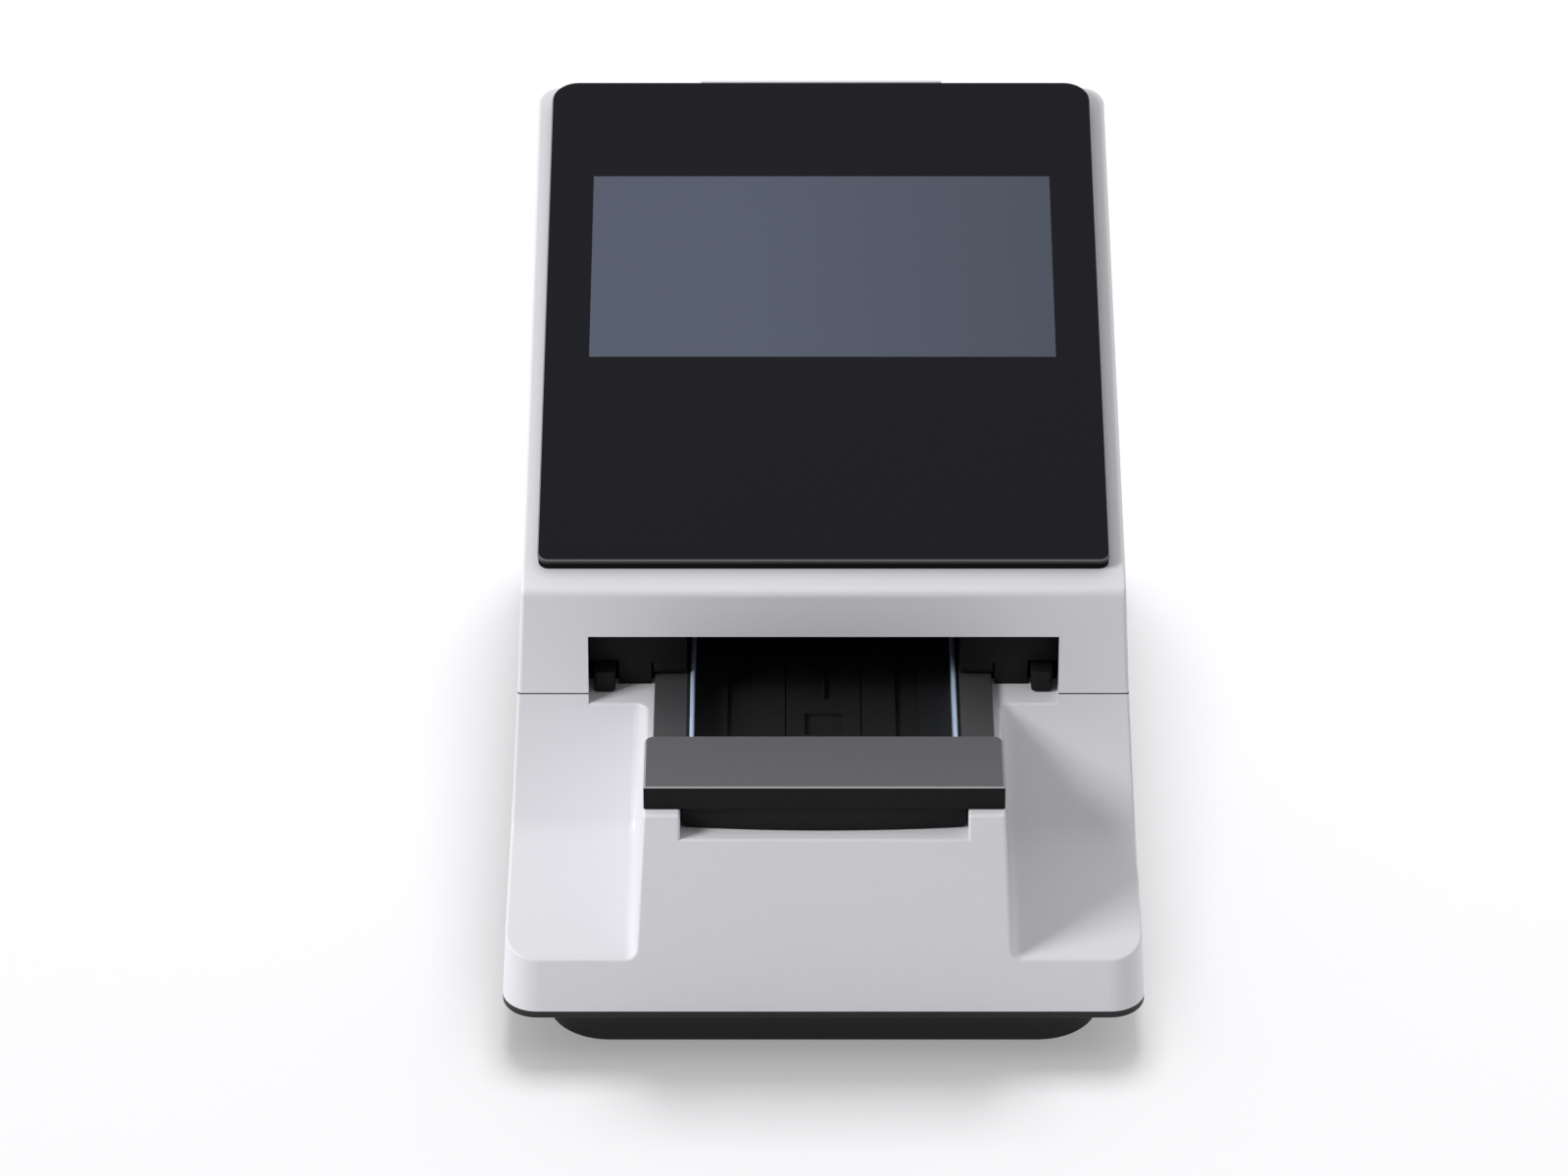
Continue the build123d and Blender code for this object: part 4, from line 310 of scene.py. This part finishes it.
def addPiece(name, mesh, material, nodeName, smoothAngle=35, replaced=()):
    # a piece from its finished mesh: it moves with the body of nodeName and takes the material given
    data = bpy.data.meshes.new(name)
    mesh.to_mesh(data)
    mesh.free()
    data.shade_smooth()
    data.set_sharp_from_angle(angle=math.radians(smoothAngle))
    data.materials.append(material)
    piece = bpy.data.objects.new(name, data)
    bpy.context.collection.objects.link(piece)
    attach(piece, bodyOf[nodeName])
    if replaced:
        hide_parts(*replaced)
    return piece


def merged(nodeName):
    # the faces of a CAD node as one closed skin
    skin = bmesh.new()
    skin.from_mesh(nodes[nodeName].data)
    bmesh.ops.remove_doubles(skin, verts=skin.verts, dist=0.001 * mm)
    return skin


def islandBoxes(nodeName):
    # lowest and highest corner of each separate solid of a node
    skin = merged(nodeName)
    boxes, left = [], set(skin.verts)
    while left:
        group, toVisit = set(), [left.pop()]
        while toVisit:
            vert = toVisit.pop()
            group.add(vert)
            near = {edge.other_vert(vert) for edge in vert.link_edges} & left
            left -= near
            toVisit += near
        corners = [[pick(vert.co[axis] for vert in group) for axis in range(3)] for pick in (min, max)]
        boxes.append((Vector(corners[0]), Vector(corners[1])))
    skin.free()
    return boxes


# moulded edges: the CAD pieces with their sharp outer edges rounded as a tool leaves them, sizes in mm
softEdges = {
    "drawer_arms": {"radius": 0.4, "segments": 3},
    "drawer_front": {"radius": 0.3, "segments": 2},
    "strip_pusher": {"radius": 0.4, "segments": 2},
    "opening_bezel": {"radius": 0.25, "segments": 2},
    "rear_panel": {"radius": 0.35, "segments": 2},
    "printer_cover": {"radius": 0.3, "segments": 2},
    "switch_body": {"radius": 0.3, "segments": 2},
    "switch_rocker": {"radius": 0.35, "segments": 3},
    "dc_inlet": {"radius": 0.2, "segments": 2},
    "usb_ports": {"radius": 0.15, "segments": 2},
    "lan_jack": {"radius": 0.15, "segments": 2},
}
for nodeName, look in softEdges.items():
    skin = merged(nodeName)
    bmesh.ops.dissolve_limit(skin, angle_limit=math.radians(0.5), verts=skin.verts, edges=skin.edges)
    sharp = [edge for edge in skin.edges
             if len(edge.link_faces) == 2 and edge.is_convex and edge.calc_face_angle(0) > math.radians(50)]
    bmesh.ops.bevel(skin, geom=sharp, offset=look["radius"] * mm, offset_type="OFFSET",
                    segments=look["segments"], profile=0.5, affect="EDGES", clamp_overlap=True, material=-1)
    addPiece(nodeName + "_soft", skin, nodes[nodeName].material_slots[0].material, nodeName,
             replaced=[nodeName])
print("edges softened,", len(softEdges))

# arm shields: over each drawer arm a low block of the bezel, and a plate behind and below it, sizes in mm
shield = {"room": 0.4, "edge": 0.3, "plateGap": 0.5,
          "block": {"setback": 0.5, "bottom": 4.6, "top": 8.0}, "plate": {"setback": 1.6}}
bezelLow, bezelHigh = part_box("opening_bezel")
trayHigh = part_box("strip_tray")[1]
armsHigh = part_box("drawer_arms")[1]
inner, outer = trayHigh.x + shield["room"] * mm, armsHigh.x + shield["room"] * mm
blockBottom, blockTop = (bezelLow.z + shield["block"][name] * mm for name in ("bottom", "top"))
shieldBoxes = [
    ((inner, bezelLow.y + shield["block"]["setback"] * mm, blockBottom), (outer, bezelHigh.y, blockTop)),
    ((inner, bezelLow.y + shield["plate"]["setback"] * mm, armsHigh.z + shield["plateGap"] * mm),
     (outer, bezelHigh.y, blockBottom)),
]
shields = bmesh.new()
for side in (-1, 1):
    for low, high in shieldBoxes:
        for vert in bmesh.ops.create_cube(shields, size=1.0)["verts"]:
            spot = [a + (corner + 0.5) * (b - a) for a, b, corner in zip(low, high, vert.co)]
            vert.co = (side * spot[0], spot[1], spot[2])
bmesh.ops.recalc_face_normals(shields, faces=shields.faces)
bmesh.ops.bevel(shields, geom=shields.edges[:], offset=shield["edge"] * mm, offset_type="OFFSET", segments=2,
                profile=0.5, affect="EDGES", clamp_overlap=True, material=-1)
addPiece("arm_shields", shields, bezelAbs, "opening_bezel")


def crossHead(mesh, look, middle, seat, top):
    # a pan-head screw from below: shank up to top, head under seat, with a tapered cross recess
    radius, height = look["radius"] * mm, look["height"] * mm
    crown = seat - height
    profile = [(0, top), (look["shank"] * mm, top), (look["shank"] * mm, seat), (radius, seat)]
    profile += [(across * radius, crown + up * height) for across, up in look["dome"]]
    verts = [mesh.verts.new((middle.x + r, middle.y, z)) for r, z in profile]
    edges = [mesh.edges.new(pair) for pair in zip(verts, verts[1:])]
    bmesh.ops.spin(mesh, geom=verts + edges, cent=(middle.x, middle.y, 0), axis=(0, 0, 1),
                   angle=2 * math.pi, steps=look["steps"], use_merge=True)
    rim = [edge for edge in mesh.edges if edge.is_boundary
           and all(abs(vert.co.z - crown) < 0.01 * mm for vert in edge.verts)
           and (edge.verts[0].co.xy - middle.xy).length < radius]
    narrow, long = look["slot"] * mm / 2, look["reach"] * mm
    corners = [(long, -narrow), (long, narrow), (narrow, narrow)]
    cross = []
    for turn in range(4):
        for corner in corners:
            spot = Matrix.Rotation(turn * math.pi / 2, 2) @ Vector(corner)
            cross.append(mesh.verts.new((middle.x + spot.x, middle.y + spot.y, crown)))
    loop = [mesh.edges.new((cross[i], cross[(i + 1) % len(cross)])) for i in range(len(cross))]
    bmesh.ops.triangle_fill(mesh, edges=rim + loop, use_beauty=True)
    walls = bmesh.ops.extrude_edge_only(mesh, edges=loop)["geom"]
    recessVerts = [item for item in walls if isinstance(item, bmesh.types.BMVert)]
    for vert in recessVerts:
        vert.co.xy = middle.xy + (vert.co.xy - middle.xy) * look["taper"]
        vert.co.z = crown + look["deep"] * mm
    bmesh.ops.contextual_create(mesh, geom=[item for item in walls if isinstance(item, bmesh.types.BMEdge)
                                            and all(vert in recessVerts for vert in item.verts)])


# case screws: pan heads with a cross recess, in place of the plain pins; sizes in mm, the dome as
# shares of the head's radius and height
screwLook = {"radius": 2.8, "height": 1.8, "dome": [(1.0, 0.5), (0.93, 0.2), (0.74, 0.0)], "shank": 1.4,
             "steps": 28, "slot": 0.8, "reach": 1.45, "deep": 1.2, "taper": 0.55}
heads = bmesh.new()
for low, high in islandBoxes("case_screws"):
    crossHead(heads, screwLook, (low + high) / 2, low.z + screwLook["height"] * mm, high.z)
bmesh.ops.remove_doubles(heads, verts=heads.verts, dist=0.001 * mm)
bmesh.ops.recalc_face_normals(heads, faces=heads.faces)
addPiece("case_screws_cross", heads, sheetSteel, "case_screws", replaced=["case_screws"])

# network jack: eight sprung contacts in the roof of its mouth, sizes in mm
contact = {"count": 8, "pitch": 1.02, "width": 0.5, "thick": 0.3, "long": 8.0, "roof": 10.4, "drop": 2.2,
           "inset": 3.0}
jackLow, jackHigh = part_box("lan_jack")
jackMiddle = (jackLow + jackHigh) / 2
springs = bmesh.new()
for i in range(contact["count"]):
    x = jackMiddle.x + (i - (contact["count"] - 1) / 2) * contact["pitch"] * mm
    for vert in bmesh.ops.create_cube(springs, size=1.0)["verts"]:
        along = vert.co.y + 0.5
        vert.co = (x + vert.co.x * contact["width"] * mm,
                   jackHigh.y - (contact["inset"] + contact["long"] * (1 - along)) * mm,
                   jackLow.z + (contact["roof"] - contact["drop"] * (1 - along)
                                + vert.co.z * contact["thick"]) * mm)
bmesh.ops.recalc_face_normals(springs, faces=springs.faces)
addPiece("lan_contacts", springs, turnedBrass, "lan_jack")
print("details made")

# studio: a room that is brighter above and behind, a soft box at the front left on the unit alone,
# and one high behind on the floor alone
studio = {
    "floorSize": 14.0, "floorLift": 0.31, "roomDark": 0.03, "roomLight": 1.2, "roomAim": (0.1, 0.8, 0.8),
    "mirrorRoom": 0.6, "mirrorBack": 1.6, "backFrom": 0.1, "backTo": 0.5, "lowFrom": 0.72, "lowTo": 0.6,
    "flag": 0.24, "flagAim": (0.0, 0.47, 0.88), "flagFrom": 0.86, "flagTo": 0.95,
    "lampAim": (0.0, 0.0, 0.08),
    "lamps": [
        {"name": "keyBox", "place": (-1.55, -0.79, 1.45), "size": 0.7, "power": 30.5, "on": "unit"},
        {"name": "floorBox", "place": (0.0, 0.7, 2.4), "size": 0.9, "power": 46.0, "on": "floor"},
    ],
}
floorMesh = bmesh.new()
bmesh.ops.create_grid(floorMesh, x_segments=1, y_segments=1, size=studio["floorSize"] / 2)
floorData = bpy.data.meshes.new("floor")
floorMesh.to_mesh(floorData)
floorMesh.free()
floor = bpy.data.objects.new("floor", floorData)
bpy.context.collection.objects.link(floor)
# painted studio sweep with a faint glow of its own: near white to the camera, with the soft shadow kept
sweepPaint = bpy.data.materials.new("sweep_paint_rolled")
sweepPaint.use_nodes = True
tree = sweepPaint.node_tree
tree.nodes.clear()
paint = addNode(tree, "BsdfDiffuse", {"Color": linear("#bcbcbe")})
glow = addNode(tree, "Emission", {"Color": linear("#ffffff"), "Strength": studio["floorLift"]})
both = addNode(tree, "AddShader", {}, {0: paint.outputs[0], 1: glow.outputs[0]})
addNode(tree, "OutputMaterial", {}, {"Surface": both.outputs[0]})
floorData.materials.append(sweepPaint)

# the room: in reflections also bright low behind the unit, and dark where the glass looks
world = bpy.data.worlds.new("studio")
bpy.context.scene.world = world
world.use_nodes = True
tree = world.node_tree
tree.nodes.clear()
skyPlace = addNode(tree, "TexCoord")
skyAxes = addNode(tree, "SeparateXYZ", {}, {"Vector": skyPlace.outputs["Generated"]})
toFlag = addNode(tree, "VectorMath", {"operation": "DOT_PRODUCT", 1: studio["flagAim"]},
                 {0: skyPlace.outputs["Generated"]})
inFlag = addNode(tree, "MapRange", {"From Min": studio["flagFrom"], "From Max": studio["flagTo"],
                                    "interpolation_type": "SMOOTHSTEP"}, {"Value": toFlag.outputs["Value"]})
toLight = addNode(tree, "VectorMath", {"operation": "DOT_PRODUCT", 1: studio["roomAim"]},
                  {0: skyPlace.outputs["Generated"]})
room = addNode(tree, "MapRange", {"From Min": -0.2, "From Max": 1.1, "To Min": studio["roomDark"],
                                  "To Max": studio["roomLight"]}, {"Value": toLight.outputs["Value"]})
behindUnit = addNode(tree, "MapRange", {"From Min": studio["backFrom"], "From Max": studio["backTo"],
                                        "interpolation_type": "SMOOTHSTEP"}, {"Value": skyAxes.outputs["Y"]})
lowDown = addNode(tree, "MapRange", {"From Min": studio["lowFrom"], "From Max": studio["lowTo"],
                                     "interpolation_type": "SMOOTHSTEP"}, {"Value": skyAxes.outputs["Z"]})
lowBehind = addNode(tree, "Math", {"operation": "MULTIPLY"},
                    {0: behindUnit.outputs["Result"], 1: lowDown.outputs["Result"]})
mirrored = addNode(tree, "Mix", {"data_type": "FLOAT", 2: studio["mirrorRoom"], 3: studio["mirrorBack"]},
                   {0: lowBehind.outputs[0]})
flagged = addNode(tree, "Mix", {"data_type": "FLOAT", 3: studio["flag"]},
                  {0: inFlag.outputs["Result"], 2: mirrored.outputs[0]})
skyRays = addNode(tree, "LightPath")
roomLevel = addNode(tree, "Mix", {"data_type": "FLOAT"},
                    {0: skyRays.outputs["Is Glossy Ray"], 2: room.outputs["Result"], 3: flagged.outputs[0]})
skyLevel = addNode(tree, "Mix", {"data_type": "FLOAT", 3: 1.0},
                   {0: skyRays.outputs["Is Camera Ray"], 2: roomLevel.outputs[0]})
skyGlow = addNode(tree, "Background", {"Color": linear("#ffffff")}, {"Strength": skyLevel.outputs[0]})
addNode(tree, "OutputWorld", {}, {"Surface": skyGlow.outputs[0]})

# each lamp lights only the unit or only the floor
lit = {name: bpy.data.collections.new("lit_" + name) for name in ("unit", "floor")}
lit["floor"].objects.link(floor)
for thing in bpy.context.scene.objects:
    if thing.type == "MESH" and thing != floor:
        lit["unit"].objects.link(thing)
for lamp in studio["lamps"]:
    lampData = bpy.data.lights.new(lamp["name"], "AREA")
    lampData.size = lamp["size"]
    lampData.energy = lamp["power"]
    lampObject = bpy.data.objects.new(lamp["name"], lampData)
    lampObject.location = lamp["place"]
    aim = Vector(studio["lampAim"]) - Vector(lamp["place"])
    lampObject.rotation_euler = aim.to_track_quat("-Z", "Y").to_euler()
    lampObject.light_linking.receiver_collection = lit[lamp["on"]]
    bpy.context.collection.objects.link(lampObject)

# camera where the photograph was taken from
shot = {"lens": 159.05, "sensor": 36.0, "place": (-0.0127, -1.95773, 1.3075), "pitch": 58.0, "far": 50.0}
cameraData = bpy.data.cameras.new("photoCamera")
cameraData.lens = shot["lens"]
cameraData.sensor_width = shot["sensor"]
cameraData.clip_end = shot["far"]
camera = bpy.data.objects.new("photoCamera", cameraData)
camera.location = shot["place"]
camera.rotation_euler = (math.radians(shot["pitch"]), 0, 0)
bpy.context.collection.objects.link(camera)
bpy.context.scene.camera = camera
bpy.context.scene.view_settings.view_transform = "Standard"
print("studio and camera ready")
